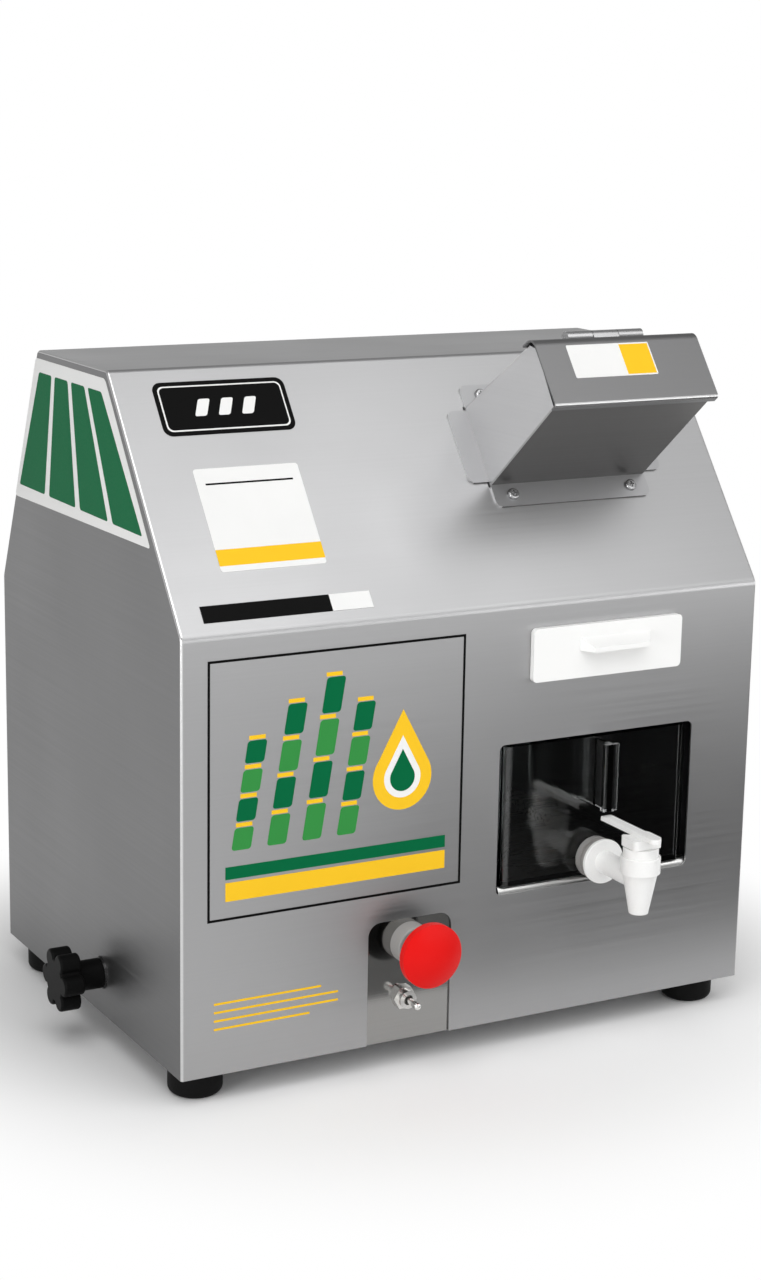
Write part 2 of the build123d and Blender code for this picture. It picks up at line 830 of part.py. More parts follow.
with BuildPart() as feed_chute:
    with BuildSketch(chute_side(mill_x)):
        with BuildLine():
            Polyline(*duct_outline(0), close=True)
        make_face()
    extrude(amount=chute_width / 2, both=True)
    fillet(edges().filter_by(lambda fold: abs((fold % 0).dot(slope_out)) > 0.9), radius=chute_fold)
    with BuildSketch(slope_plane):
        for side in (-1, 1):
            with Locations((mill_x + side * chute_width / 2, chute_mid)):
                RectangleRounded(2 * chute_tab, tab_side_length, chute_tab_radius)
            with Locations((mill_x, chute_mid + side * chute_rise / 2)):
                RectangleRounded(chute_width, 4 * chute_tab_short, chute_tab_radius)
    extrude(amount=chute_sheet)
    with BuildSketch(chute_side(mill_x)):
        with BuildLine():
            Polyline(*duct_outline(chute_sheet), close=True)
        make_face()
    extrude(amount=chute_width / 2 - chute_sheet, both=True, mode=Mode.SUBTRACT)
    with BuildSketch(chute_side(mill_x)):
        with BuildLine():
            Polyline(
                (chute_low, chute_out),
                (mouth_low, chute_out),
                (mouth_high - flap_bend, chute_reach - chute_slant * flap_bend / mouth_rise),
                (mouth_high, chute_reach - flap_bend),
                (chute_high, chute_reach - flap_bend),
                (chute_high, chute_reach + chute_sheet),
                (chute_low, chute_reach + chute_sheet),
                close=True,
            )
        make_face()
    extrude(amount=chute_width, both=True, mode=Mode.SUBTRACT)
    with BuildSketch(slope_plane):
        with Locations(*chute_screw_places):
            Circle(screw_diameter / 2 + screw_clearance / 2)
    extrude(amount=chute_sheet, mode=Mode.SUBTRACT)

# Flap over the mouth, hinged above the top wall of the chute
barrel_radius = hinge_barrel / 2
hinge_out = chute_out - hinge_set_back
hinge_wall = chute_high - chute_high_taper * hinge_out / chute_reach
hinge_rise = flap_top_gap + flap_sheet + hinge_knuckle_gap + barrel_radius
lid_lean = atan2(chute_high_taper, chute_reach)
lid_normal = slope_up * cos(lid_lean) + slope_out * sin(lid_lean)


def lid_side(x):
    """Plane across the machine at x, drawn off the chute's top wall and along it to the mouth."""
    place = crease + slope_up * hinge_wall + slope_out * hinge_out + Vector(x, 0, 0)
    return Plane(origin=place, x_dir=lid_normal, z_dir=(1, 0, 0))


def lid_point(up, out):
    """Point given up the slope and outwards from it, in the drawing of the hinge."""
    rise = up - hinge_wall
    reach = out - hinge_out
    off_wall = rise * cos(lid_lean) + reach * sin(lid_lean)
    along_wall = reach * cos(lid_lean) - rise * sin(lid_lean)
    return (off_wall, along_wall)


flap_inner = chute_reach + flap_gap
flap_low = mouth_low - flap_drop - flap_sheet
flap_corner = (flap_inner - hinge_out - flap_top_gap * sin(lid_lean)) / cos(lid_lean)
flap_top = flap_top_gap + flap_sheet

with BuildPart() as feed_flap:
    with BuildSketch(lid_side(mill_x)):
        with BuildLine() as flap_line:
            FilletPolyline(
                (flap_top_gap, 0),
                (flap_top_gap, flap_corner),
                lid_point(flap_low + flap_sheet, flap_inner),
                lid_point(flap_low + flap_sheet, flap_inner - flap_lip),
                radius=[flap_bend, flap_sheet],
            )
            offset(flap_line.line, amount=flap_sheet, side=Side.RIGHT)
        make_face()
    extrude(amount=flap_width / 2, both=True)

knuckle = hinge_width / 3

with BuildPart() as chute_hinge_leaf:
    with BuildSketch(lid_side(mill_x)):
        with Locations((0, hinge_leaf - barrel_radius)):
            Rectangle(hinge_leaf, hinge_leaf_depth, align=(Align.MIN, Align.MAX))
        with Locations((0, -barrel_radius)):
            Rectangle(hinge_rise, hinge_leaf, align=(Align.MIN, Align.MIN))
        with Locations((hinge_rise, 0)):
            Circle(barrel_radius)
    extrude(amount=hinge_width / 2, both=True)
    with BuildSketch(lid_side(mill_x)):
        with Locations((hinge_rise, 0)):
            Circle(barrel_radius + hinge_knuckle_gap)
    extrude(amount=knuckle / 2 + hinge_knuckle_gap, both=True, mode=Mode.SUBTRACT)
    with BuildSketch(lid_side(mill_x)):
        with Locations((hinge_rise, 0)):
            Circle(hinge_pin_diameter / 2)
    extrude(amount=hinge_width, both=True, mode=Mode.SUBTRACT)

with BuildPart() as hinge_pin:
    with BuildSketch(lid_side(mill_x)):
        with Locations((hinge_rise, 0)):
            Circle(hinge_pin_diameter / 2)
    extrude(amount=hinge_width / 2, both=True)

with BuildPart() as flap_hinge_leaf:
    with BuildSketch(lid_side(mill_x)):
        with Locations((flap_top, barrel_radius)):
            Rectangle(hinge_rise - flap_top, hinge_leaf, align=(Align.MIN, Align.MAX))
        with Locations((hinge_rise, 0)):
            Circle(barrel_radius)
    extrude(amount=knuckle / 2, both=True)
    with BuildSketch(lid_side(mill_x)):
        with Locations((hinge_rise, 0)):
            Circle(hinge_pin_diameter / 2 + running_fit)
    extrude(amount=hinge_width, both=True, mode=Mode.SUBTRACT)

# Pan-head screws of the chute and of the fibre outlet
with BuildPart() as hood_screws:
    with BuildSketch(slope_plane.offset(chute_sheet)):
        with Locations(*chute_screw_places):
            Circle(screw_head / 2)
    extrude(amount=screw_head_height)
    with BuildSketch(rear_plane.offset(outlet_sheet)):
        with Locations(*outlet_screw_places):
            Circle(screw_head / 2)
    extrude(amount=screw_head_height)
    screw_tops = faces().filter_by(GeomType.PLANE).filter_by(lambda top: top.normal_at().Z > 0)
    fillet(screw_tops.edges(), radius=screw_head_height / 2)
    with BuildSketch(slope_plane.offset(chute_sheet + screw_head_height)):
        with Locations(*chute_screw_places):
            Rectangle(screw_recess, screw_recess_width)
            Rectangle(screw_recess_width, screw_recess)
    extrude(amount=-screw_recess_depth, mode=Mode.SUBTRACT)
    with BuildSketch(rear_plane.offset(outlet_sheet + screw_head_height)):
        with Locations(*outlet_screw_places):
            Rectangle(screw_recess, screw_recess_width)
            Rectangle(screw_recess_width, screw_recess)
    extrude(amount=-screw_recess_depth, mode=Mode.SUBTRACT)
    with BuildSketch(slope_plane.offset(chute_sheet)):
        with Locations(*chute_screw_places):
            Circle(screw_diameter / 2)
    extrude(amount=-screw_length)
    with BuildSketch(rear_plane.offset(outlet_sheet)):
        with Locations(*outlet_screw_places):
            Circle(screw_diameter / 2)
    extrude(amount=-screw_length)

# Fibre outlet: a brow that turns the dry fibre downwards
outlet_foot = rear_at(outlet_low)
outlet_head = rear_at(outlet_high)
outlet_y = y_back + outlet_reach

with BuildPart() as bagasse_hood:
    with BuildSketch(across(mill_x)):
        with BuildLine():
            Polyline(
                yz(outlet_foot),
                yz(outlet_head),
                (y_back + outlet_shoulder, outlet_head.Z - outlet_shoulder_drop),
                (outlet_y, outlet_head.Z - outlet_brow_drop),
                (outlet_y, outlet_foot.Z),
                close=True,
            )
        make_face()
    extrude(amount=outlet_width / 2, both=True)
    open_bottom = faces().sort_by(Axis.Z)[0]
    open_slope = faces().sort_by(Axis.Y)[0]
    offset(amount=-outlet_sheet, openings=[open_bottom, open_slope], kind=Kind.INTERSECTION)
    with BuildSketch(rear_plane):
        for side in (-1, 1):
            with Locations((-mill_x + side * (outlet_width / 2 + outlet_tab / 2), outlet_mid)):
                Rectangle(outlet_tab, outlet_high - outlet_low)
        with Locations((-mill_x, outlet_high - 2 * outlet_sheet)):
            Rectangle(outlet_width, outlet_tab, align=(Align.CENTER, Align.MIN))
        with Locations(*outlet_screw_places):
            Circle(screw_diameter / 2 + screw_clearance / 2, mode=Mode.SUBTRACT)
    extrude(amount=outlet_sheet)

# Roller cheeks, tie rods and bushes
bush_radius = roller_shaft / 2 + bush_wall
drive_bush_radius = drive_shaft / 2 + bush_wall
rod_places = [
    (y_front + cheek_inset + rod_margin, z_hood + drawer_bottom - rod_margin),
    (y_back - cheek_inset - 2 * rod_margin, z_hood + drawer_bottom - rod_margin),
    (y_back - cheek_inset - 2 * rod_margin, z_hood + tank_bottom + rod_margin),
    (top_centre.Y, z_top - cheek_inset - rod_margin / 2),
]


def cheek_plate(x, drive):
    """Roller cheek standing on the base pan, bored for its bushes and tie rods."""
    plane = across(x)
    with BuildPart() as cheek:
        extrude(hood_outline(plane, cheek_inset), amount=cheek_thickness)
        with BuildSketch(plane):
            with Locations(*[yz(centre) for centre in roller_centres]):
                Circle(bush_radius)
            with Locations(*rod_places):
                Circle(rod_stud_diameter / 2)
            if drive:
                with Locations(*[yz(centre) for centre in drive]):
                    Circle(drive_bush_radius)
        extrude(amount=cheek_thickness, mode=Mode.SUBTRACT)
    return cheek


left_cheek = cheek_plate(cheek_left - cheek_thickness, drive_centres)
right_cheek = cheek_plate(cheek_right, [])

with BuildPart() as tie_rods:
    with BuildSketch(across(mill_x)):
        with Locations(*rod_places):
            Circle(rod_diameter / 2)
    extrude(amount=cheek_gap / 2, both=True)
    with BuildSketch(across(mill_x)):
        with Locations(*rod_places):
            Circle(rod_stud_diameter / 2)
    extrude(amount=cheek_gap / 2 + cheek_thickness, both=True)
    for end in (cheek_left - cheek_thickness - rod_head_height, cheek_right + cheek_thickness):
        with BuildSketch(across(end)):
            with Locations(*rod_places):
                RegularPolygon(rod_head_diameter / 2, 6, major_radius=False)
        extrude(amount=rod_head_height)

with BuildPart() as shaft_bushes:
    for x in (cheek_left - cheek_thickness, cheek_right):
        with BuildSketch(across(x)):
            with Locations(*[yz(centre) for centre in roller_centres]):
                Circle(bush_radius)
                Circle(roller_shaft / 2 + running_fit, mode=Mode.SUBTRACT)
        extrude(amount=cheek_thickness)
    with BuildSketch(across(cheek_left - cheek_thickness)):
        with Locations(*[yz(centre) for centre in drive_centres]):
            Circle(drive_bush_radius)
            Circle(drive_shaft / 2 + running_fit, mode=Mode.SUBTRACT)
    extrude(amount=cheek_thickness)
    with BuildSketch(across(gear_plate_x)):
        with Locations(*[yz(centre) for centre in drive_centres]):
            Circle(drive_bush_radius)
            Circle(drive_shaft / 2 + running_fit, mode=Mode.SUBTRACT)
        with Locations(yz(top_centre)):
            Circle(bush_radius)
            Circle(roller_shaft / 2 + running_fit, mode=Mode.SUBTRACT)
    extrude(amount=gear_plate_thickness)

# Trash plate between the lower rollers, and the scraper that leads the fibre out
waist = discharge_centre - feed_centre
waist_width = waist.length - feed_radius - discharge_radius - 2 * trash_clearance
waist_middle = feed_centre + waist.normalized() * (feed_radius + trash_clearance + waist_width / 2)
waist_plane = Plane(origin=(cheek_left, waist_middle.Y, waist_middle.Z), x_dir=waist, z_dir=(1, 0, 0))
waist_head = (top_centre - waist_middle).length - top_radius - 2 * trash_clearance

with BuildPart() as trash_plate:
    with BuildSketch(waist_plane):
        with Locations((0, waist_head)):
            Rectangle(waist_width, waist_head + waist_width, align=(Align.CENTER, Align.MAX))
    extrude(amount=cheek_gap)

scraper_start = from_centre(discharge_centre, discharge_radius + scraper_clearance, scraper_angle)
scraper_end = rear_at(outlet_low + outlet_opening_gap) - rear_out * (sheet + slide_gap + scraper_thickness)
scraper_run = scraper_end - scraper_start
scraper_plane = Plane(
    origin=(cheek_left, scraper_start.Y, scraper_start.Z), x_dir=scraper_run, z_dir=(1, 0, 0)
)

with BuildPart() as scraper_plate:
    with BuildSketch(scraper_plane):
        Rectangle(scraper_run.length, scraper_thickness, align=(Align.MIN, Align.MIN))
    extrude(amount=cheek_gap)

# Gear plate on a leg from the base pan
with BuildPart() as gear_plate:
    with BuildSketch(across(gear_plate_x)):
        with Locations(yz(top_centre), yz(first_centre), yz(second_centre)):
            Circle(gear_boss)
        make_hull()
        with Locations((second_centre.Y + gear_boss, z_pan)):
            Rectangle(gear_leg_width, first_centre.Z - z_pan, align=(Align.MAX, Align.MIN))
        with Locations(*[yz(centre) for centre in drive_centres]):
            Circle(drive_bush_radius, mode=Mode.SUBTRACT)
        with Locations(yz(top_centre)):
            Circle(bush_radius, mode=Mode.SUBTRACT)
    extrude(amount=gear_plate_thickness)
    with BuildSketch(Plane.XY.offset(z_pan)):
        with Locations((gear_plate_x, second_centre.Y + gear_boss)):
            Rectangle(gear_foot, gear_leg_width, align=(Align.MIN, Align.MAX))
    extrude(amount=gear_plate_thickness)

# Rollers with their shafts, and the gears keyed to them
shaft_end = crown_x + crown_width + crown_gap


def fluted_roller(centre, radius, shaft_start):
    """Fluted roller with its shaft, from the given shaft end to the crown gear side."""
    with BuildPart() as roller:
        with BuildSketch(across(mill_x - roller_length / 2)):
            with Locations(yz(centre)):
                Circle(radius)
                with PolarLocations(radius, roller_flutes):
                    Circle(flute_radius, mode=Mode.SUBTRACT)
        extrude(amount=roller_length)
        with BuildSketch(across(shaft_start)):
            with Locations(yz(centre)):
                Circle(roller_shaft / 2)
        extrude(amount=shaft_end - shaft_start)
    return roller


top_roller = fluted_roller(top_centre, top_radius, gear_plate_x)
feed_roller = fluted_roller(feed_centre, feed_radius, cheek_left - cheek_thickness)
discharge_roller = fluted_roller(discharge_centre, discharge_radius, cheek_left - cheek_thickness)


def keyed_gear(x, width, centre, bore, module, teeth, phase):
    """Spur gear on a shaft, with the shaft's bore through it."""
    with BuildPart() as gear:
        extrude(gear_face(across(x), centre, module, teeth, phase), amount=width)
        with BuildSketch(across(x)):
            with Locations(yz(centre)):
                Circle(bore / 2)
        extrude(amount=width, mode=Mode.SUBTRACT)
    return gear


feed_phase = meshing_phase(feed_angle, crown_teeth, crown_teeth, 0)
discharge_phase = meshing_phase(discharge_angle, crown_teeth, crown_teeth, 0)
top_crown_gear = keyed_gear(crown_x, crown_width, top_centre, roller_shaft, crown_module, crown_teeth, 0)
feed_crown_gear = keyed_gear(
    crown_x, crown_width, feed_centre, roller_shaft, crown_module, crown_teeth, feed_phase
)
discharge_crown_gear = keyed_gear(
    crown_x, crown_width, discharge_centre, roller_shaft, crown_module, crown_teeth, discharge_phase
)
bull_gear = keyed_gear(final_x, final_width, top_centre, roller_shaft, final_module, bull_teeth, 0)
first_gear = keyed_gear(
    first_x, first_width, second_centre, drive_shaft, first_module, first_gear_teeth, 0
)


def pinion_shaft(centre, start, end, x, width, module, teeth, phase):
    """Drive shaft with a pinion cut on it."""
    with BuildPart() as shaft:
        extrude(gear_face(across(x), centre, module, teeth, phase), amount=width)
        with BuildSketch(across(start)):
            with Locations(yz(centre)):
                Circle(drive_shaft / 2)
        extrude(amount=end - start)
    return shaft


first_phase = meshing_phase(first_angle, first_gear_teeth, first_pinion_teeth, 0)
final_phase = meshing_phase(final_angle, bull_teeth, final_pinion_teeth, 0)
first_pinion_shaft = pinion_shaft(
    first_centre,
    pulley_x,
    cheek_left,
    first_x,
    first_width,
    first_module,
    first_pinion_teeth,
    first_phase,
)
second_pinion_shaft = pinion_shaft(
    second_centre,
    gear_plate_x,
    cheek_left,
    final_x,
    final_width,
    final_module,
    final_pinion_teeth,
    final_phase,
)

# Belt drive
belt_x = pulley_x + (pulley_width - belt_width) / 2

with BuildPart() as large_pulley:
    with BuildSketch(across(pulley_x)):
        with Locations(yz(first_centre)):
            Circle(large_pulley_radius)
            Circle(large_pulley_radius - pulley_web, mode=Mode.SUBTRACT)
            Circle(pulley_hub_diameter / 2)
    extrude(amount=pulley_width)
    with BuildSketch(across(pulley_x + (pulley_width - pulley_web) / 2)):
        with Locations(yz(first_centre)):
            Circle(large_pulley_radius)
            with PolarLocations((large_pulley_radius + pulley_hub_diameter / 2) / 2, 5):
                Circle(pulley_hole_diameter / 2, mode=Mode.SUBTRACT)
    extrude(amount=pulley_web)
    for rim_x in (pulley_x, pulley_x + pulley_width - pulley_flange):
        with BuildSketch(across(rim_x)):
            with Locations(yz(first_centre)):
                Circle(large_pulley_radius + pulley_flange_rise)
                Circle(large_pulley_radius - pulley_web, mode=Mode.SUBTRACT)
        extrude(amount=pulley_flange)
    with BuildSketch(across(pulley_x)):
        with Locations(yz(first_centre)):
            Circle(drive_shaft / 2)
    extrude(amount=pulley_width, mode=Mode.SUBTRACT)

with BuildPart() as motor_pulley:
    with BuildSketch(across(pulley_x)):
        with Locations(yz(motor_centre)):
            Circle(motor_pulley_radius)
    extrude(amount=pulley_width)
    for rim_x in (pulley_x, pulley_x + pulley_width - pulley_flange):
        with BuildSketch(across(rim_x)):
            with Locations(yz(motor_centre)):
                Circle(motor_pulley_radius + pulley_flange_rise)
        extrude(amount=pulley_flange)
    with BuildSketch(across(pulley_x)):
        with Locations(yz(motor_centre)):
            Circle(drive_shaft / 2)
    extrude(amount=pulley_width, mode=Mode.SUBTRACT)


def belt_loop(extra):
    """Area inside a loop round both pulleys, at a distance off their rims."""
    with BuildSketch(across(belt_x)) as loop:
        with Locations(yz(first_centre)):
            Circle(large_pulley_radius + extra)
        with Locations(yz(motor_centre)):
            Circle(motor_pulley_radius + extra)
        make_hull()
    return loop.sketch


with BuildPart() as drive_belt:
    extrude(belt_loop(belt_clearance + belt_thickness), amount=belt_width)
    extrude(belt_loop(belt_clearance), amount=belt_width, mode=Mode.SUBTRACT)

# Motor on its own feet
rotor_x = motor_x + motor_end_wall + motor_rotor_gap
rotor_length = motor_length - 2 * (motor_end_wall + motor_rotor_gap)

with BuildPart() as motor_housing:
    with BuildSketch(across(motor_x)):
        with Locations(yz(motor_centre)):
            Circle(motor_diameter / 2)
    extrude(amount=motor_length)
    fillet(faces().filter_by(Axis.X).edges(), radius=motor_end_wall / 2)
    for foot_x in (motor_x + motor_end_wall, motor_x + motor_length - motor_end_wall - motor_foot_length):
        with BuildSketch(Plane.XY.offset(z_pan)):
            with Locations((foot_x, motor_y)):
                Rectangle(motor_foot_length, motor_foot_width, align=(Align.MIN, Align.CENTER))
        extrude(amount=motor_rise)
    with BuildSketch(across(motor_x + motor_end_wall)):
        with Locations(yz(motor_centre)):
            Circle(motor_bore / 2)
    extrude(amount=motor_length - 2 * motor_end_wall, mode=Mode.SUBTRACT)
    with BuildSketch(across(motor_x + motor_end_wall / 2)):
        with Locations(yz(motor_centre)):
            Circle(drive_shaft / 2 + running_fit)
    extrude(amount=motor_length, mode=Mode.SUBTRACT)

with BuildPart() as motor_shaft:
    with BuildSketch(across(rotor_x)):
        with Locations(yz(motor_centre)):
            Circle(motor_bore / 2 - motor_rotor_gap)
    extrude(amount=rotor_length)
    with BuildSketch(across(motor_x + motor_end_wall / 2 + motor_rotor_gap)):
        with Locations(yz(motor_centre)):
            Circle(drive_shaft / 2)
    extrude(amount=pulley_x + pulley_width - motor_x - motor_end_wall / 2 - motor_rotor_gap)

# Strainer drawer with its finger lip
z_drawer = z_hood + drawer_bottom
tray_width = slot_width - 2 * drawer_slot_gap
tray_height = slot_height - 2 * drawer_slot_gap
z_tray = z_drawer + drawer_overlap + drawer_slot_gap
drawer_face = front_plane.offset(drawer_front_gap)
grip_plane = drawer_face.offset(drawer_front_thickness)
grip_place = (mill_x + drawer_grip_shift, z_drawer + drawer_grip_rise)

with BuildPart() as strainer_drawer:
    with BuildSketch(drawer_face):
        with Locations((mill_x, slot_mid)):
            RectangleRounded(drawer_width, drawer_height, drawer_front_radius)
    extrude(amount=drawer_front_thickness)
    with BuildSketch(drawer_face):
        with Locations((mill_x, z_tray)):
            Rectangle(tray_width, tray_height, align=(Align.CENTER, Align.MIN))
    extrude(amount=-drawer_depth)
    with BuildSketch(Plane.XY.offset(z_tray + drawer_wall)):
        with Locations((mill_x, y_front + drawer_wall)):
            Rectangle(
                tray_width - 2 * drawer_wall,
                drawer_depth - 2 * drawer_wall - drawer_front_gap,
                align=(Align.CENTER, Align.MIN),
            )
    extrude(amount=tray_height, mode=Mode.SUBTRACT)
    with BuildSketch(Plane.XY.offset(z_tray)):
        with Locations((mill_x, y_front + drawer_wall + strainer_ledge)):
            Rectangle(
                tray_width - 2 * drawer_wall - 2 * strainer_ledge,
                drawer_depth - 2 * drawer_wall - drawer_front_gap - 2 * strainer_ledge,
                align=(Align.CENTER, Align.MIN),
            )
    extrude(amount=drawer_wall, mode=Mode.SUBTRACT)
    for wall, mode in ((0, Mode.ADD), (drawer_grip_wall, Mode.SUBTRACT)):
        with BuildSketch(grip_plane):
            with Locations(grip_place):
                Rectangle(
                    drawer_grip_width - 2 * wall,
                    drawer_grip_height - wall,
                    align=(Align.CENTER, Align.MIN),
                )
        with BuildSketch(grip_plane.offset(drawer_grip_reach - wall)):
            with Locations(grip_place):
                Rectangle(
                    drawer_grip_width - 2 * drawer_grip_taper - 2 * wall,
                    drawer_grip_lip - wall,
                    align=(Align.CENTER, Align.MIN),
                )
        loft(mode=mode)

strainer_width = tray_width - 2 * drawer_wall - 2 * slide_gap
strainer_depth = drawer_depth - 2 * drawer_wall - drawer_front_gap - 2 * slide_gap
strainer_columns = int((strainer_width - 2 * strainer_margin) / strainer_pitch)
strainer_rows = int((strainer_depth - 2 * strainer_margin) / strainer_pitch)

with BuildPart() as strainer_plate:
    with BuildSketch(Plane.XY.offset(z_tray + drawer_wall)):
        with Locations((mill_x, y_front + drawer_wall + slide_gap + strainer_depth / 2)):
            Rectangle(strainer_width, strainer_depth)
            with GridLocations(strainer_pitch, strainer_pitch, strainer_columns, strainer_rows):
                Circle(strainer_hole / 2, mode=Mode.SUBTRACT)
    extrude(amount=strainer_thickness)

rail_top = z_tray - slide_gap
rail_length = drawer_depth - cheek_inset

with BuildPart() as drawer_rails:
    for side, wall_x in ((1, cheek_left), (-1, cheek_right)):
        near_x = wall_x + side * ((cheek_gap - tray_width) / 2 + rail_lap)
        with BuildSketch(front_plane.offset(-cheek_inset)):
            with Locations(((wall_x + near_x) / 2, rail_top)):
                Rectangle(abs(near_x - wall_x), rail_sheet, align=(Align.CENTER, Align.MAX))
            with Locations((wall_x + side * rail_sheet / 2, rail_top - rail_sheet)):
                Rectangle(rail_sheet, rail_height, align=(Align.CENTER, Align.MIN))
        extrude(amount=-rail_length)

# Funnel under the strainer, hung from the rails
funnel_top = rail_top - rail_sheet
funnel_width = cheek_gap - 2 * slide_gap
funnel_length = drawer_depth - funnel_front
funnel_mid_y = y_front + funnel_front + funnel_length / 2

with BuildPart() as juice_funnel:
    for wall, mode in ((0, Mode.ADD), (2 * funnel_sheet, Mode.SUBTRACT)):
        with BuildSketch(Plane.XY.offset(funnel_top)):
            with Locations((mill_x, funnel_mid_y)):
                Rectangle(funnel_width - wall, funnel_length - wall)
        extrude(amount=-funnel_rim_height, mode=mode)
        with BuildSketch(Plane.XY.offset(funnel_top - funnel_rim_height)):
            with Locations((mill_x, funnel_mid_y)):
                Rectangle(funnel_width - wall, funnel_length - wall)
        with BuildSketch(Plane.XY.offset(funnel_top - funnel_rim_height - funnel_depth)):
            with Locations((mill_x, funnel_mid_y)):
                Rectangle(funnel_outlet - wall, funnel_outlet - wall)
        loft(mode=mode)

# Clear tank, its handle and the shelf that it slides on
z_tank = z_hood + tank_bottom
tap_z = z_tank + tap_rise
tap_hole = tap_tail_diameter / 2 + tap_hole_gap

with BuildPart() as juice_tank:
    with BuildSketch(Plane.XY.offset(z_tank)):
        with Locations((tank_x, y_front)):
            Rectangle(tank_width, tank_depth, align=(Align.CENTER, Align.MIN))
    extrude(amount=tank_height)
    fillet(edges().filter_by(Axis.Z), radius=tank_radius)
    offset(amount=-tank_wall, openings=faces().sort_by(Axis.Z)[-1])
    with BuildSketch(front_plane):
        with Locations((tank_x, tap_z)):
            Circle(tap_hole)
    extrude(amount=-tank_wall, mode=Mode.SUBTRACT)

handle_top = z_tank + tank_height - handle_drop

with BuildPart() as tank_handle:
    with BuildSketch(Plane.XY.offset(handle_top)):
        with Locations((tank_x, y_front)):
            Rectangle(handle_fin, handle_reach, align=(Align.CENTER, Align.MAX))
        with Locations((tank_x, y_front - handle_reach)):
            Rectangle(handle_width, handle_flange, align=(Align.CENTER, Align.MIN))
    extrude(amount=-handle_height)
    fillet(edges().filter_by(Axis.Z).group_by(Axis.Y)[0], radius=handle_flange / 3)

shelf_top = z_tank - shelf_runner - slide_gap
shelf_front = y_front + sheet + slide_gap

with BuildPart() as tank_shelf:
    with BuildSketch(Plane.XY.offset(shelf_top)):
        with Locations((mill_x, shelf_front)):
            Rectangle(cheek_gap, shelf_depth, align=(Align.CENTER, Align.MIN))
    extrude(amount=-shelf_sheet)
    for runner_x in (tank_x - tank_width / 3, tank_x + tank_width / 3):
        with BuildSketch(Plane.XY.offset(shelf_top)):
            with Locations((runner_x, shelf_front)):
                Rectangle(shelf_runner, shelf_depth, align=(Align.CENTER, Align.MIN))
        extrude(amount=shelf_runner)
    with BuildSketch(Plane.XY.offset(shelf_top)):
        with Locations((mill_x, shelf_front)):
            Rectangle(cheek_gap, shelf_lip, align=(Align.CENTER, Align.MIN))
    extrude(amount=shelf_runner)
    with BuildSketch(across(mill_x)):
        with Locations((shelf_front, shelf_top + shelf_runner)):
            Rectangle(shelf_lip_radius, shelf_lip_radius, align=(Align.MIN, Align.MAX))
        with Locations((shelf_front + shelf_lip_radius, shelf_top + shelf_runner - shelf_lip_radius)):
            Circle(shelf_lip_radius, mode=Mode.SUBTRACT)
    extrude(amount=cheek_gap, both=True, mode=Mode.SUBTRACT)

# Tap: gasket, body with flange, nut inside the tank, turning plug and lever
tap_axis_y = y_front - tap_axis_reach
tap_ring_z = tap_z + tap_ring_low
tap_cap_z = tap_ring_z + tap_ring_height + tap_cap_height
tap_spout_z = tap_z - tap_spout_drop
tap_plug_z = tap_z - tap_plug_drop
tap_plug_top = tap_ring_z + tap_ring_height

with BuildPart() as tap_gasket:
    with BuildSketch(front_plane):
        with Locations((tank_x, tap_z)):
            Circle(gasket_diameter / 2)
            Circle(tap_hole, mode=Mode.SUBTRACT)
    extrude(amount=gasket_thickness / 2)
    with BuildSketch(front_plane.offset(gasket_thickness / 2)):
        with Locations((tank_x, tap_z)):
            Circle(gasket_neck_diameter / 2)
            Circle(tap_hole, mode=Mode.SUBTRACT)
    extrude(amount=gasket_thickness / 2)

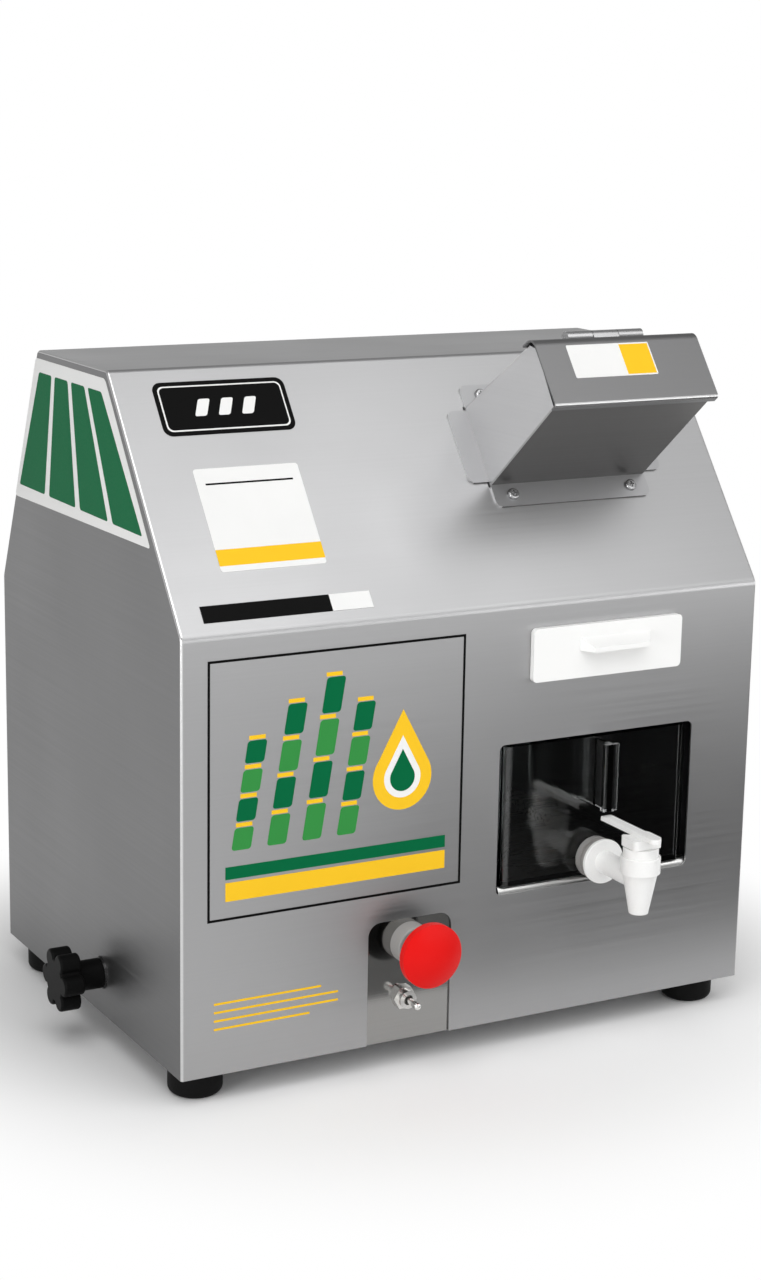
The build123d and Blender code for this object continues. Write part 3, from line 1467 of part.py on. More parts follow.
with BuildPart() as tap_body:
    with BuildSketch(front_plane.offset(gasket_thickness)):
        with Locations((tank_x, tap_z)):
            Circle(tap_flange_diameter / 2)
    extrude(amount=tap_flange_thickness)
    fillet(edges(), radius=tap_flange_thickness / 4)
    with BuildSketch(front_plane):
        with Locations((tank_x, tap_z)):
            Circle(tap_neck_diameter / 2)
    extrude(amount=tap_axis_reach)
    with BuildSketch(front_plane):
        with Locations((tank_x, tap_z)):
            Circle(gasket_diameter)
            Circle(tap_tail_diameter / 2, mode=Mode.SUBTRACT)
    extrude(amount=gasket_thickness, mode=Mode.SUBTRACT)
    with BuildSketch(front_plane):
        with Locations((tank_x, tap_z)):
            Circle(tap_tail_diameter / 2)
    extrude(amount=-tank_wall - tap_tail_length)
    with BuildSketch(Plane.XY.offset(tap_spout_z)):
        with Locations((tank_x, tap_axis_y)):
            Circle(tap_spout_diameter / 2)
    with BuildSketch(Plane.XY.offset(tap_ring_z)):
        with Locations((tank_x, tap_axis_y)):
            Circle(tap_body_diameter / 2)
    loft()
    with BuildSketch(Plane.XY.offset(tap_ring_z)):
        with Locations((tank_x, tap_axis_y)):
            Circle(tap_ring_diameter / 2)
    extrude(amount=tap_ring_height)
    fillet(faces().sort_by(Axis.Z)[-1].edges(), radius=tap_flange_thickness / 4)
    with BuildSketch(Plane.XY.offset(tap_ring_z + tap_ring_height)):
        with Locations((tank_x, tap_axis_y)):
            Circle(tap_body_diameter / 2)
    extrude(amount=tap_cap_height)
    with BuildSketch(Plane.XY.offset(tap_plug_z)):
        with Locations((tank_x, tap_axis_y)):
            Circle(tap_plug_diameter / 2 + running_fit)
    extrude(amount=tap_plug_top - tap_plug_z, mode=Mode.SUBTRACT)
    with BuildSketch(Plane.XY.offset(tap_plug_top)):
        with Locations((tank_x, tap_axis_y)):
            Circle(tap_stem_diameter / 2 + running_fit)
    extrude(amount=tap_cap_height, mode=Mode.SUBTRACT)
    with BuildSketch(Plane.XY.offset(tap_plug_z)):
        with Locations((tank_x, tap_axis_y)):
            Circle(tap_spout_bore / 2)
    extrude(amount=tap_spout_z - tap_plug_z, mode=Mode.SUBTRACT)
    with BuildSketch(front_plane.offset(-tank_wall - tap_tail_length)):
        with Locations((tank_x, tap_z)):
            Circle(tap_bore / 2)
    extrude(amount=tank_wall + tap_tail_length + tap_axis_reach, mode=Mode.SUBTRACT)

with BuildPart() as tap_nut:
    with BuildSketch(front_plane.offset(-tank_wall)):
        with Locations((tank_x, tap_z)):
            RegularPolygon(tap_nut_flats / 2, 6, major_radius=False)
            Circle(tap_tail_diameter / 2, mode=Mode.SUBTRACT)
    extrude(amount=-tap_nut_thickness)

lever_z = tap_cap_z + lever_gap

with BuildPart() as tap_stem:
    with BuildSketch(Plane.XY.offset(tap_plug_z + slide_gap)):
        with Locations((tank_x, tap_axis_y)):
            Circle(tap_plug_diameter / 2)
    extrude(amount=tap_plug_top - tap_plug_z - 2 * slide_gap)
    with BuildSketch(Plane.YZ.offset(tank_x)):
        with Locations((tap_axis_y, tap_z)):
            Circle(tap_bore / 2)
    extrude(amount=tap_plug_diameter, both=True, mode=Mode.SUBTRACT)
    with BuildSketch(Plane.XY.offset(tap_plug_top - 2 * slide_gap)):
        with Locations((tank_x, tap_axis_y)):
            Circle(tap_stem_diameter / 2)
    extrude(amount=lever_z + lever_saddle_height - tap_plug_top + 2 * slide_gap)

lever_bar_z = lever_z + lever_saddle_height
saddle_back = tap_axis_y + lever_saddle_depth / 2

with BuildPart() as tap_lever:
    with BuildSketch(Plane.XY.offset(lever_z)):
        with Locations((tank_x, tap_axis_y)):
            RectangleRounded(lever_saddle_width, lever_saddle_depth, lever_saddle_hollow)
            Circle(tap_stem_diameter / 2, mode=Mode.SUBTRACT)
        with Locations((tank_x, saddle_back + lever_saddle_width / 2 - lever_saddle_hollow)):
            Circle(lever_saddle_width / 2, mode=Mode.SUBTRACT)
    extrude(amount=lever_saddle_height)
    with BuildSketch(Plane.XY.offset(lever_bar_z)):
        with Locations((tank_x, tap_axis_y)):
            Rectangle(lever_width, lever_tail, align=(Align.CENTER, Align.MIN))
        with Locations((tank_x, tap_axis_y)):
            SlotCenterPoint((0, 0), (0, -lever_nose + lever_width / 2), lever_width)
    extrude(amount=lever_thickness)
    fillet(faces().sort_by(Axis.Z)[-1].edges(), radius=lever_thickness / 4)

# Cord gland through the back wall

with BuildPart() as cord_gland:
    with BuildSketch(back_plane):
        with Locations((-gland_x, z_hood + gland_rise)):
            RegularPolygon(gland_flats / 2, 6, major_radius=False)
    extrude(amount=gland_body)
    with BuildSketch(back_plane):
        with Locations((-gland_x, z_hood + gland_rise)):
            Circle(gland_cap_diameter / 2)
    extrude(amount=gland_body + gland_cap_length)
    fillet(faces().sort_by(Axis.Y)[-1].edges(), radius=gland_bore / 2)
    with BuildSketch(back_plane):
        with Locations((-gland_x, z_hood + gland_rise)):
            Circle(gland_thread / 2)
    extrude(amount=-sheet - gland_nut - gland_body)
    with BuildSketch(back_plane.offset(-sheet)):
        with Locations((-gland_x, z_hood + gland_rise)):
            RegularPolygon(gland_flats / 2, 6, major_radius=False)
    extrude(amount=-gland_nut)
    with BuildSketch(back_plane):
        with Locations((-gland_x, z_hood + gland_rise)):
            Circle(gland_bore / 2)
    extrude(amount=hood_depth / 4, both=True, mode=Mode.SUBTRACT)

pieces = {
    "hood_wrap": hood_wrap,
    "hood_left_side": hood_left_side,
    "hood_right_side": hood_right_side,
    "base_pan": base_pan,
    "feet": feet,
    "foot_screws": foot_screws,
    "left_cheek": left_cheek,
    "right_cheek": right_cheek,
    "gear_plate": gear_plate,
    "tie_rods": tie_rods,
    "shaft_bushes": shaft_bushes,
    "trash_plate": trash_plate,
    "scraper_plate": scraper_plate,
    "drawer_rails": drawer_rails,
    "juice_funnel": juice_funnel,
    "tank_shelf": tank_shelf,
    "feed_chute": feed_chute,
    "hood_screws": hood_screws,
    "chute_hinge_leaf": chute_hinge_leaf,
    "hinge_pin": hinge_pin,
    "bagasse_hood": bagasse_hood,
    "switch_panel": switch_panel,
    "estop_collar": estop_collar,
    "estop_contact_block": estop_contact_block,
    "toggle_body": toggle_body,
    "toggle_nut": toggle_nut,
    "cord_gland": cord_gland,
    "motor_housing": motor_housing,
    "drive_belt": drive_belt,
    "motor_shaft": motor_shaft,
    "motor_pulley": motor_pulley,
    "first_pinion_shaft": first_pinion_shaft,
    "large_pulley": large_pulley,
    "second_pinion_shaft": second_pinion_shaft,
    "first_gear": first_gear,
    "top_roller": top_roller,
    "bull_gear": bull_gear,
    "top_crown_gear": top_crown_gear,
    "feed_roller": feed_roller,
    "feed_crown_gear": feed_crown_gear,
    "discharge_roller": discharge_roller,
    "discharge_crown_gear": discharge_crown_gear,
    "feed_flap": feed_flap,
    "flap_hinge_leaf": flap_hinge_leaf,
    "strainer_drawer": strainer_drawer,
    "strainer_plate": strainer_plate,
    "juice_tank": juice_tank,
    "tank_handle": tank_handle,
    "tap_body": tap_body,
    "tap_gasket": tap_gasket,
    "tap_nut": tap_nut,
    "tap_lever": tap_lever,
    "tap_stem": tap_stem,
    "estop_stem": estop_stem,
    "estop_button": estop_button,
    "toggle_lever": toggle_lever,
    "knob_left": knob_left,
    "knob_left_washer": knob_left_washer,
    "knob_right": knob_right,
    "knob_right_washer": knob_right_washer,
}

os.makedirs("parts", exist_ok=True)
for name, piece in pieces.items():
    piece.part.label = name
    export_step(piece.part, f"parts/{name}.step")
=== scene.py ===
"""Looks of a table-top sugarcane juicer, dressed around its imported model, in metres.

The front faces -Y, +X is on the viewer's right and +Z is up. Each sub-assembly is a class that dresses its
own nodes. The cabinet and the feed also add the prints and labels that the model leaves to the looks.
"""
import logging
import math
from dataclasses import dataclass, field
from enum import Enum
from typing import Callable, Iterable, Protocol, Sequence

import bmesh
import bpy
from mathutils import Matrix, Vector


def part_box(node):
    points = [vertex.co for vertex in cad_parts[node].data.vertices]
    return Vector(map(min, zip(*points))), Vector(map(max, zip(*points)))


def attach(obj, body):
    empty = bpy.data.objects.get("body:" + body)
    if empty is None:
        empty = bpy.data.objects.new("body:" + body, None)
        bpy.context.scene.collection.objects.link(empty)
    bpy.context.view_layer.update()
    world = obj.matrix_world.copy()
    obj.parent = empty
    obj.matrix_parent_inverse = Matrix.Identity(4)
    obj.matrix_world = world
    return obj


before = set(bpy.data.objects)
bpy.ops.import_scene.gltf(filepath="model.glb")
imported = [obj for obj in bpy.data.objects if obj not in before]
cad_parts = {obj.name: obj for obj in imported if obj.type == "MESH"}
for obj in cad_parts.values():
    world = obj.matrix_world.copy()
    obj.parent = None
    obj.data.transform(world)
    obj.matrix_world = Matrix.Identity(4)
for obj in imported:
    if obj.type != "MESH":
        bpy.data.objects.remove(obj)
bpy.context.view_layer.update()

LOG = logging.getLogger("juicer")
MM = 0.001

Colour = tuple[float, float, float]
Place = tuple[float, float, float]
Spot = tuple[float, float]
Box = tuple[float, float, float, float]

# Cosine past which a face counts as following a direction.
ALIGNED = 0.97

# The middle of a noise's range, which holds most of its values.
NOISE_LOW = 0.3
NOISE_HIGH = 0.7

# Places of a Mix node's sockets when it mixes colours.
MIX_SHARE = 0
MIX_FIRST = 6
MIX_SECOND = 7
MIX_RESULT = 2

# A quarter turn of the sheen of brushed sheet, as a share of a full one.
QUARTER_TURN = 0.25


class Grain(Enum):
    """Which way the brush lines of a sheet run, as the stretch of its noise along X, Y and Z."""

    ACROSS = (5.0, 700.0, 700.0)
    DEEP = (700.0, 5.0, 700.0)
    UPRIGHT = (700.0, 700.0, 5.0)

    @property
    def axis(self) -> str:
        """Name of the axis that the lines run along."""
        return "XYZ"[self.value.index(min(self.value))]


class Ink(Enum):
    """Print colours, as linear values."""

    BLACK = (0.005, 0.005, 0.005)
    WHITE = (0.86, 0.86, 0.85)
    YELLOW = (0.93, 0.56, 0.024)
    GREEN = (0.002, 0.135, 0.048)
    LEAF = (0.04, 0.27, 0.06)


class Growth(Enum):
    """How a share grows between its ends, as a Map Range node calls it."""

    EVEN = "LINEAR"
    SMOOTH = "SMOOTHSTEP"


@dataclass
class Desk:
    """A node tree with short ways to add and join nodes."""

    tree: bpy.types.NodeTree

    def add(self, kind: str, **values: object) -> bpy.types.Node:
        """Adds a node.

        Args:
            kind: The node's type name without its ShaderNode prefix.
            values: Settings of the node by their property names.

        Returns:
            The new node.
        """
        node = self.tree.nodes.new("ShaderNode" + kind)
        for key, value in values.items():
            setattr(node, key, value)
        return node

    def join(self, source: bpy.types.NodeSocket, target: bpy.types.NodeSocket) -> None:
        """Links one socket to another."""
        self.tree.links.new(source, target)

    def noise(self, place: bpy.types.NodeSocket, scale: float, detail: float) -> bpy.types.NodeSocket:
        """Adds a noise texture.

        Args:
            place: The socket that gives the coordinates.
            scale: The noise's scale, in cells per unit of the coordinates.
            detail: The number of finer layers.

        Returns:
            The socket of the noise's value.
        """
        node = self.add("TexNoise")
        node.inputs["Scale"].default_value = scale
        node.inputs["Detail"].default_value = detail
        self.join(place, node.inputs["Vector"])
        return node.outputs["Fac"]

    def remap(self, value: bpy.types.NodeSocket, low: float, high: float) -> bpy.types.NodeSocket:
        """Maps the middle of a noise's range to a range of its own.

        Args:
            value: The noise's socket.
            low: The result where the noise is low.
            high: The result where the noise is high.

        Returns:
            The socket of the result.
        """
        node = self.add("MapRange")
        node.inputs["From Min"].default_value = NOISE_LOW
        node.inputs["From Max"].default_value = NOISE_HIGH
        node.inputs["To Min"].default_value = low
        node.inputs["To Max"].default_value = high
        self.join(value, node.inputs["Value"])
        return node.outputs["Result"]

    def ramp(
        self, value: bpy.types.NodeSocket, start: float, end: float, growth: Growth
    ) -> bpy.types.NodeSocket:
        """Turns a value into a share that grows from 0 to 1.

        Args:
            value: The socket of the value.
            start: The value where the share is 0.
            end: The value where the share is 1.
            growth: How the share grows between them.

        Returns:
            The socket of the share.
        """
        node = self.add("MapRange", interpolation_type=growth.value)
        node.inputs["From Min"].default_value = start
        node.inputs["From Max"].default_value = end
        self.join(value, node.inputs["Value"])
        return node.outputs["Result"]

    def blend(self, amount: bpy.types.NodeSocket, first: Colour, second: Colour) -> bpy.types.NodeSocket:
        """Mixes two colours by a socket.

        Args:
            amount: The socket that gives the share of the second colour.
            first: The colour where the share is 0.
            second: The colour where the share is 1.

        Returns:
            The socket of the mixed colour.
        """
        node = self.add("Mix", data_type="RGBA")
        node.inputs[MIX_FIRST].default_value = (*first, 1.0)
        node.inputs[MIX_SECOND].default_value = (*second, 1.0)
        self.join(amount, node.inputs[MIX_SHARE])
        return node.outputs[MIX_RESULT]

    def relief(self, height: bpy.types.NodeSocket, depth: float, strength: float) -> bpy.types.NodeSocket:
        """Adds a bump.

        Args:
            height: The socket that gives the height.
            depth: The height of a full step, in metres.
            strength: The share of the bump that shows.

        Returns:
            The socket of the bumped normal.
        """
        node = self.add("Bump")
        node.inputs["Strength"].default_value = strength
        node.inputs["Distance"].default_value = depth
        self.join(height, node.inputs["Height"])
        return node.outputs["Normal"]


class Effects:
    """Shader groups that several finishes share, each made once."""

    LINE_SCALE: float = 1.0
    LINE_DETAIL: float = 3.0
    CLOUD_SCALE: float = 7.0
    CLOUD_DETAIL: float = 3.0
    GRAIN_DETAIL: float = 2.0
    TONE_SCALE: float = 25.0
    TONE_DETAIL: float = 2.0

    @staticmethod
    def _group(
        name: str, inputs: Sequence[tuple[str, str]], outputs: Sequence[str]
    ) -> tuple[Desk, dict, dict]:
        """Makes an empty group with named sockets.

        Args:
            name: The group's name.
            inputs: Name and socket type of each input.
            outputs: Names of the value outputs.

        Returns:
            The group's desk, its input sockets and its output sockets by name.
        """
        tree = bpy.data.node_groups.new(name, "ShaderNodeTree")
        for label, kind in inputs:
            tree.interface.new_socket(label, in_out="INPUT", socket_type=kind)
        for label in outputs:
            tree.interface.new_socket(label, in_out="OUTPUT", socket_type="NodeSocketFloat")
        source = tree.nodes.new("NodeGroupInput")
        target = tree.nodes.new("NodeGroupOutput")
        return Desk(tree), {s.name: s for s in source.outputs}, {s.name: s for s in target.inputs}

    @classmethod
    def brush_lines(cls) -> bpy.types.NodeTree:
        """Group that puts out the brush lines of a sheet and its faint clouds.

        Returns:
            The group, with the stretch of its lines as its input.
        """
        found = bpy.data.node_groups.get("brush_lines")
        if found:
            return found
        desk, ins, outs = cls._group("brush_lines", [("Stretch", "NodeSocketVector")], ["Lines", "Cloud"])
        place = desk.add("TexCoord").outputs["Object"]
        stretched = desk.add("VectorMath", operation="MULTIPLY")
        desk.join(place, stretched.inputs[0])
        desk.join(ins["Stretch"], stretched.inputs[1])
        lines = desk.noise(stretched.outputs["Vector"], cls.LINE_SCALE, cls.LINE_DETAIL)
        desk.join(lines, outs["Lines"])
        desk.join(desk.noise(place, cls.CLOUD_SCALE, cls.CLOUD_DETAIL), outs["Cloud"])
        return desk.tree

    @classmethod
    def mould_grain(cls) -> bpy.types.NodeTree:
        """Group that puts out the fine grain of a moulding and its slow change of tone.

        Returns:
            The group, with the scale of its grain as its input.
        """
        found = bpy.data.node_groups.get("mould_grain")
        if found:
            return found
        desk, ins, outs = cls._group("mould_grain", [("Scale", "NodeSocketFloat")], ["Grain", "Tone"])
        place = desk.add("TexCoord").outputs["Object"]
        fine = desk.add("TexNoise")
        fine.inputs["Detail"].default_value = cls.GRAIN_DETAIL
        desk.join(place, fine.inputs["Vector"])
        desk.join(ins["Scale"], fine.inputs["Scale"])
        desk.join(fine.outputs["Fac"], outs["Grain"])
        desk.join(desk.noise(place, cls.TONE_SCALE, cls.TONE_DETAIL), outs["Tone"])
        return desk.tree


def fresh_material(name: str) -> tuple[bpy.types.Material, Desk, bpy.types.Node]:
    """Makes a material with a bare shader.

    Args:
        name: The material's name.

    Returns:
        The material, its desk and its shader node.
    """
    material = bpy.data.materials.new(name)
    material.use_nodes = True
    desk = Desk(material.node_tree)
    return material, desk, material.node_tree.nodes["Principled BSDF"]


class Finish(Protocol):
    """What a CAD node can be dressed with."""

    def material(self) -> bpy.types.Material:
        """Builds the finish's material."""


@dataclass(frozen=True)
class SheetFinish:
    """Brushed or polished sheet steel, with fine lines along one way."""

    name: str
    tint: Colour = (0.447, 0.447, 0.452)
    shade: float = 0.90
    roughness: float = 0.42
    spread: float = 0.07
    depth: float = 0.00003
    relief: float = 0.25
    anisotropy: float = 0.4
    grain: Grain = Grain.ACROSS

    def material(self) -> bpy.types.Material:
        """Builds the finish's material.

        Returns:
            A new material with lines in its tone, its gloss and its relief.
        """
        material, desk, shader = fresh_material(self.name)
        group = desk.add("Group", node_tree=Effects.brush_lines())
        group.inputs["Stretch"].default_value = self.grain.value
        lines = group.outputs["Lines"]
        dark = tuple(part * self.shade for part in self.tint)
        desk.join(desk.blend(lines, dark, self.tint), shader.inputs["Base Color"])
        rough = desk.add("Math", operation="ADD")
        desk.join(desk.remap(lines, self.roughness - self.spread, self.roughness), rough.inputs[0])
        desk.join(desk.remap(group.outputs["Cloud"], 0.0, self.spread), rough.inputs[1])
        desk.join(rough.outputs["Value"], shader.inputs["Roughness"])
        desk.join(desk.relief(lines, self.depth, self.relief), shader.inputs["Normal"])
        shader.inputs["Metallic"].default_value = 1.0
        if self.anisotropy:
            around = desk.add("Tangent", direction_type="RADIAL", axis=self.grain.axis)
            desk.join(around.outputs["Tangent"], shader.inputs["Tangent"])
            shader.inputs["Anisotropic"].default_value = self.anisotropy
            shader.inputs["Anisotropic Rotation"].default_value = QUARTER_TURN
        return material


@dataclass(frozen=True)
class MouldedFinish:
    """Moulded plastic, rubber, casting or paint with a fine grain."""

    name: str
    tint: Colour
    shade: float = 0.88
    roughness: float = 0.4
    spread: float = 0.08
    scale: float = 1800.0
    depth: float = 0.00003
    relief: float = 0.3
    coat: float = 0.0
    metallic: float = 0.0
    specular: float = 0.3

    def material(self) -> bpy.types.Material:
        """Builds the finish's material.

        Returns:
            A new material with a grain in its gloss and its relief, and a slow change of tone.
        """
        material, desk, shader = fresh_material(self.name)
        group = desk.add("Group", node_tree=Effects.mould_grain())
        group.inputs["Scale"].default_value = self.scale
        grain = group.outputs["Grain"]
        dark = tuple(part * self.shade for part in self.tint)
        desk.join(desk.blend(group.outputs["Tone"], dark, self.tint), shader.inputs["Base Color"])
        rough = desk.remap(grain, self.roughness - self.spread, self.roughness + self.spread)
        desk.join(rough, shader.inputs["Roughness"])
        desk.join(desk.relief(grain, self.depth, self.relief), shader.inputs["Normal"])
        shader.inputs["Metallic"].default_value = self.metallic
        shader.inputs["Coat Weight"].default_value = self.coat
        shader.inputs["Specular IOR Level"].default_value = self.specular
        return material


@dataclass(frozen=True)
class ClearFinish:
    """Clear plastic with faint rubbed patches."""

    name: str
    tint: Colour = (0.93, 0.95, 0.95)
    smooth: float = 0.015
    rubbed: float = 0.048
    scale: float = 300.0
    ior: float = 1.49
    specular: float = 0.04

    def material(self) -> bpy.types.Material:
        """Builds the finish's material.

        Returns:
            A new see-through material with patches in its gloss.
        """
        material, desk, shader = fresh_material(self.name)
        group = desk.add("Group", node_tree=Effects.mould_grain())
        group.inputs["Scale"].default_value = self.scale
        patches = desk.remap(group.outputs["Tone"], self.smooth, self.rubbed)
        desk.join(patches, shader.inputs["Roughness"])
        shader.inputs["Base Color"].default_value = (*self.tint, 1.0)
        shader.inputs["IOR"].default_value = self.ior
        shader.inputs["Specular IOR Level"].default_value = self.specular
        shader.inputs["Transmission Weight"].default_value = 1.0
        return material


@dataclass(frozen=True)
class PrintFinish:
    """Ink or vinyl film on the sheet, a little uneven and nearly matt."""

    ink: Ink
    shade: float = 0.94
    spread: float = 0.05
    scale: float = 900.0
    depth: float = 0.00001
    specular: float = 0.03

    def material(self) -> bpy.types.Material:
        """Gives the ink's material.

        Returns:
            The material, which is made the first time that the ink is used.
        """
        name = "print_" + self.ink.name.lower()
        found = bpy.data.materials.get(name)
        if found:
            return found
        return MouldedFinish(
            name,
            self.ink.value,
            shade=self.shade,
            spread=self.spread,
            scale=self.scale,
            depth=self.depth,
            specular=self.specular,
        ).material()


# Painted highlight on folds: a brighter tint of the steel that stands in for light caught by the bends,
# which the cabinet makes and the feed uses too.
FOLD_PAINTED_HIGHLIGHT = SheetFinish("fold_painted_highlight", tint=(0.64, 0.64, 0.64), roughness=0.34, spread=0.04)


@dataclass(frozen=True)
class Wall:
    """A flat face of the machine. Places on it are given along and up from its corner, in millimetres."""

    corner: Vector
    along: Vector
    up: Vector

    @property
    def out(self) -> Vector:
        """Direction that the wall faces."""
        return self.along.cross(self.up)

    def raised(self, by: float) -> "Wall":
        """Wall in front of this one, by so many millimetres."""
        return Wall(self.corner + self.out * by * MM, self.along, self.up)

    def matrix(self) -> Matrix:
        """Matrix that takes a place along, up and out from the wall's corner, in metres, to the machine."""
        turn = Matrix((self.along, self.up, self.out)).transposed().to_4x4()
        return Matrix.Translation(self.corner) @ turn


@dataclass(frozen=True)
class Hood:
    """Outer walls of the hood, from the box of its left side panel and two sizes of its slope."""

    crease: float = 299.0
    slope_run: float = 111.0

    @staticmethod
    def side_box() -> tuple[Vector, Vector]:
        """Lowest and highest corner of the left side panel, which has the hood's depth and height."""
        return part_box("hood_left_side")

    def front(self) -> Wall:
        """Front wall, from its lower left corner."""
        return Wall(self.side_box()[0], Vector((1.0, 0.0, 0.0)), Vector((0.0, 0.0, 1.0)))

    def left(self) -> Wall:
        """Left wall, from its lower back corner."""
        low, high = self.side_box()
        return Wall(Vector((low.x, high.y, low.z)), Vector((0.0, -1.0, 0.0)), Vector((0.0, 0.0, 1.0)))

    def slope(self) -> Wall:
        """Front slope, from the left end of the crease.

        Returns:
            The wall.
        """
        low, high = self.side_box()
        rise = high.z / MM - self.crease
        up = Vector((0.0, self.slope_run, rise)).normalized()
        return Wall(Vector((low.x, low.y, self.crease * MM)), Vector((1.0, 0.0, 0.0)), up)


def stand(name: str, bm: bmesh.types.BMesh) -> bpy.types.Object:
    """Makes an object of a bmesh, which is freed, and puts it in the scene.

    Args:
        name: The object's name.
        bm: The bmesh, with its place in its points.

    Returns:
        The new object.
    """
    mesh = bpy.data.meshes.new(name)
    bm.to_mesh(mesh)
    bm.free()
    made = bpy.data.objects.new(name, mesh)
    bpy.context.scene.collection.objects.link(made)
    return made


@dataclass
class Artwork:
    """Flat printed shapes on a wall, joined into one thin piece."""

    name: str
    wall: Wall
    film: float = 0.12
    gap: float = 0.02
    corner_steps: int = 6
    bm: bmesh.types.BMesh = field(default_factory=bmesh.new)
    inks: list[Ink] = field(default_factory=list)

    def _index(self, ink: Ink) -> int:
        """Gives an ink its place among the piece's materials.

        Args:
            ink: The ink.

        Returns:
            The number of its material.
        """
        if ink not in self.inks:
            self.inks.append(ink)
        return self.inks.index(ink)

    def shape(self, points: Iterable[Spot], ink: Ink, layer: int = 0, round_by: float = 0.0) -> None:
        """Adds a filled outline.

        Args:
            points: The outline's corners on the wall, in millimetres, anticlockwise.
            ink: The shape's colour.
            layer: The number of films under it.
            round_by: The radius of its corners, in millimetres.
        """
        piece = bmesh.new()
        lift = self.film * layer + self.gap
        piece.faces.new([piece.verts.new((x * MM, y * MM, lift * MM)) for x, y in points])
        if round_by:
            bmesh.ops.bevel(
                piece,
                geom=list(piece.verts),
                offset=round_by * MM,
                offset_type="OFFSET",
                affect="VERTICES",
                segments=self.corner_steps,
                profile=0.5,
                material=-1,
            )
        top = bmesh.ops.extrude_face_region(piece, geom=list(piece.faces))
        moved = [v for v in top["geom"] if isinstance(v, bmesh.types.BMVert)]
        bmesh.ops.translate(piece, verts=moved, vec=(0.0, 0.0, self.film * MM))
        bmesh.ops.recalc_face_normals(piece, faces=list(piece.faces))
        index = self._index(ink)
        for face in piece.faces:
            face.material_index = index
        store = bpy.data.meshes.new("shape")
        piece.to_mesh(store)
        self.bm.from_mesh(store)
        piece.free()
        bpy.data.meshes.remove(store)

    def bar(self, box: Box, ink: Ink, layer: int = 0, round_by: float = 0.0, lean: float = 0.0) -> None:
        """Adds a bar.

        Args:
            box: Its left, bottom, right and top on the wall, in millimetres.
            ink: The bar's colour.
            layer: The number of films under it.
            round_by: The radius of its corners.
            lean: How far its top is moved along.
        """
        left, low, right, high = box
        corners = [(left, low), (right, low), (right + lean, high), (left + lean, high)]
        self.shape(corners, ink, layer, round_by)

    def ring(self, box: Box, line: float, ink: Ink) -> None:
        """Adds a frame of four bars.

        Args:
            box: Its outer left, bottom, right and top on the wall.
            line: The width of its line.
            ink: The line's colour.
        """
        left, low, right, high = box
        self.bar((left, low, right, low + line), ink)
        self.bar((left, high - line, right, high), ink)
        self.bar((left, low + line, left + line, high - line), ink)
        self.bar((right - line, low + line, right, high - line), ink)

    def finish(self, body: str, slot: str) -> None:
        """Makes the piece and lets it ride.

        Args:
            body: The body that carries it.
            slot: The record's material slot under it; not used.
        """
        bmesh.ops.transform(self.bm, matrix=self.wall.matrix(), verts=list(self.bm.verts))
        piece = stand(self.name, self.bm)
        for ink in self.inks:
            piece.data.materials.append(PrintFinish(ink).material())
        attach(piece, body)
        LOG.info("print %s on %s", self.name, body)


def dress(nodes: Iterable[str], finish: Finish) -> bpy.types.Material:
    """Gives CAD nodes a finish.

    Args:
        nodes: The nodes' names.
        finish: Their finish.

    Returns:
        The material of the finish.
    """
    material = finish.material()
    for name in nodes:
        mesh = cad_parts[name].data
        mesh.materials.clear()
        mesh.materials.append(material)
        LOG.info("dressed %s with %s", name, material.name)
    return material


def refinish(name: str, material: bpy.types.Material, test: Callable[[Vector], bool]) -> None:
    """Gives some faces of a dressed CAD node a further material.

    Args:
        name: The node's name.
        material: The further material.
        test: Says by a face's normal whether the face gets it.
    """
    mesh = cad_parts[name].data
    mesh.materials.append(material)
    index = len(mesh.materials) - 1
    for face in mesh.polygons:
        if test(face.normal):
            face.material_index = index
    LOG.info("refinished part of %s with %s", name, material.name)


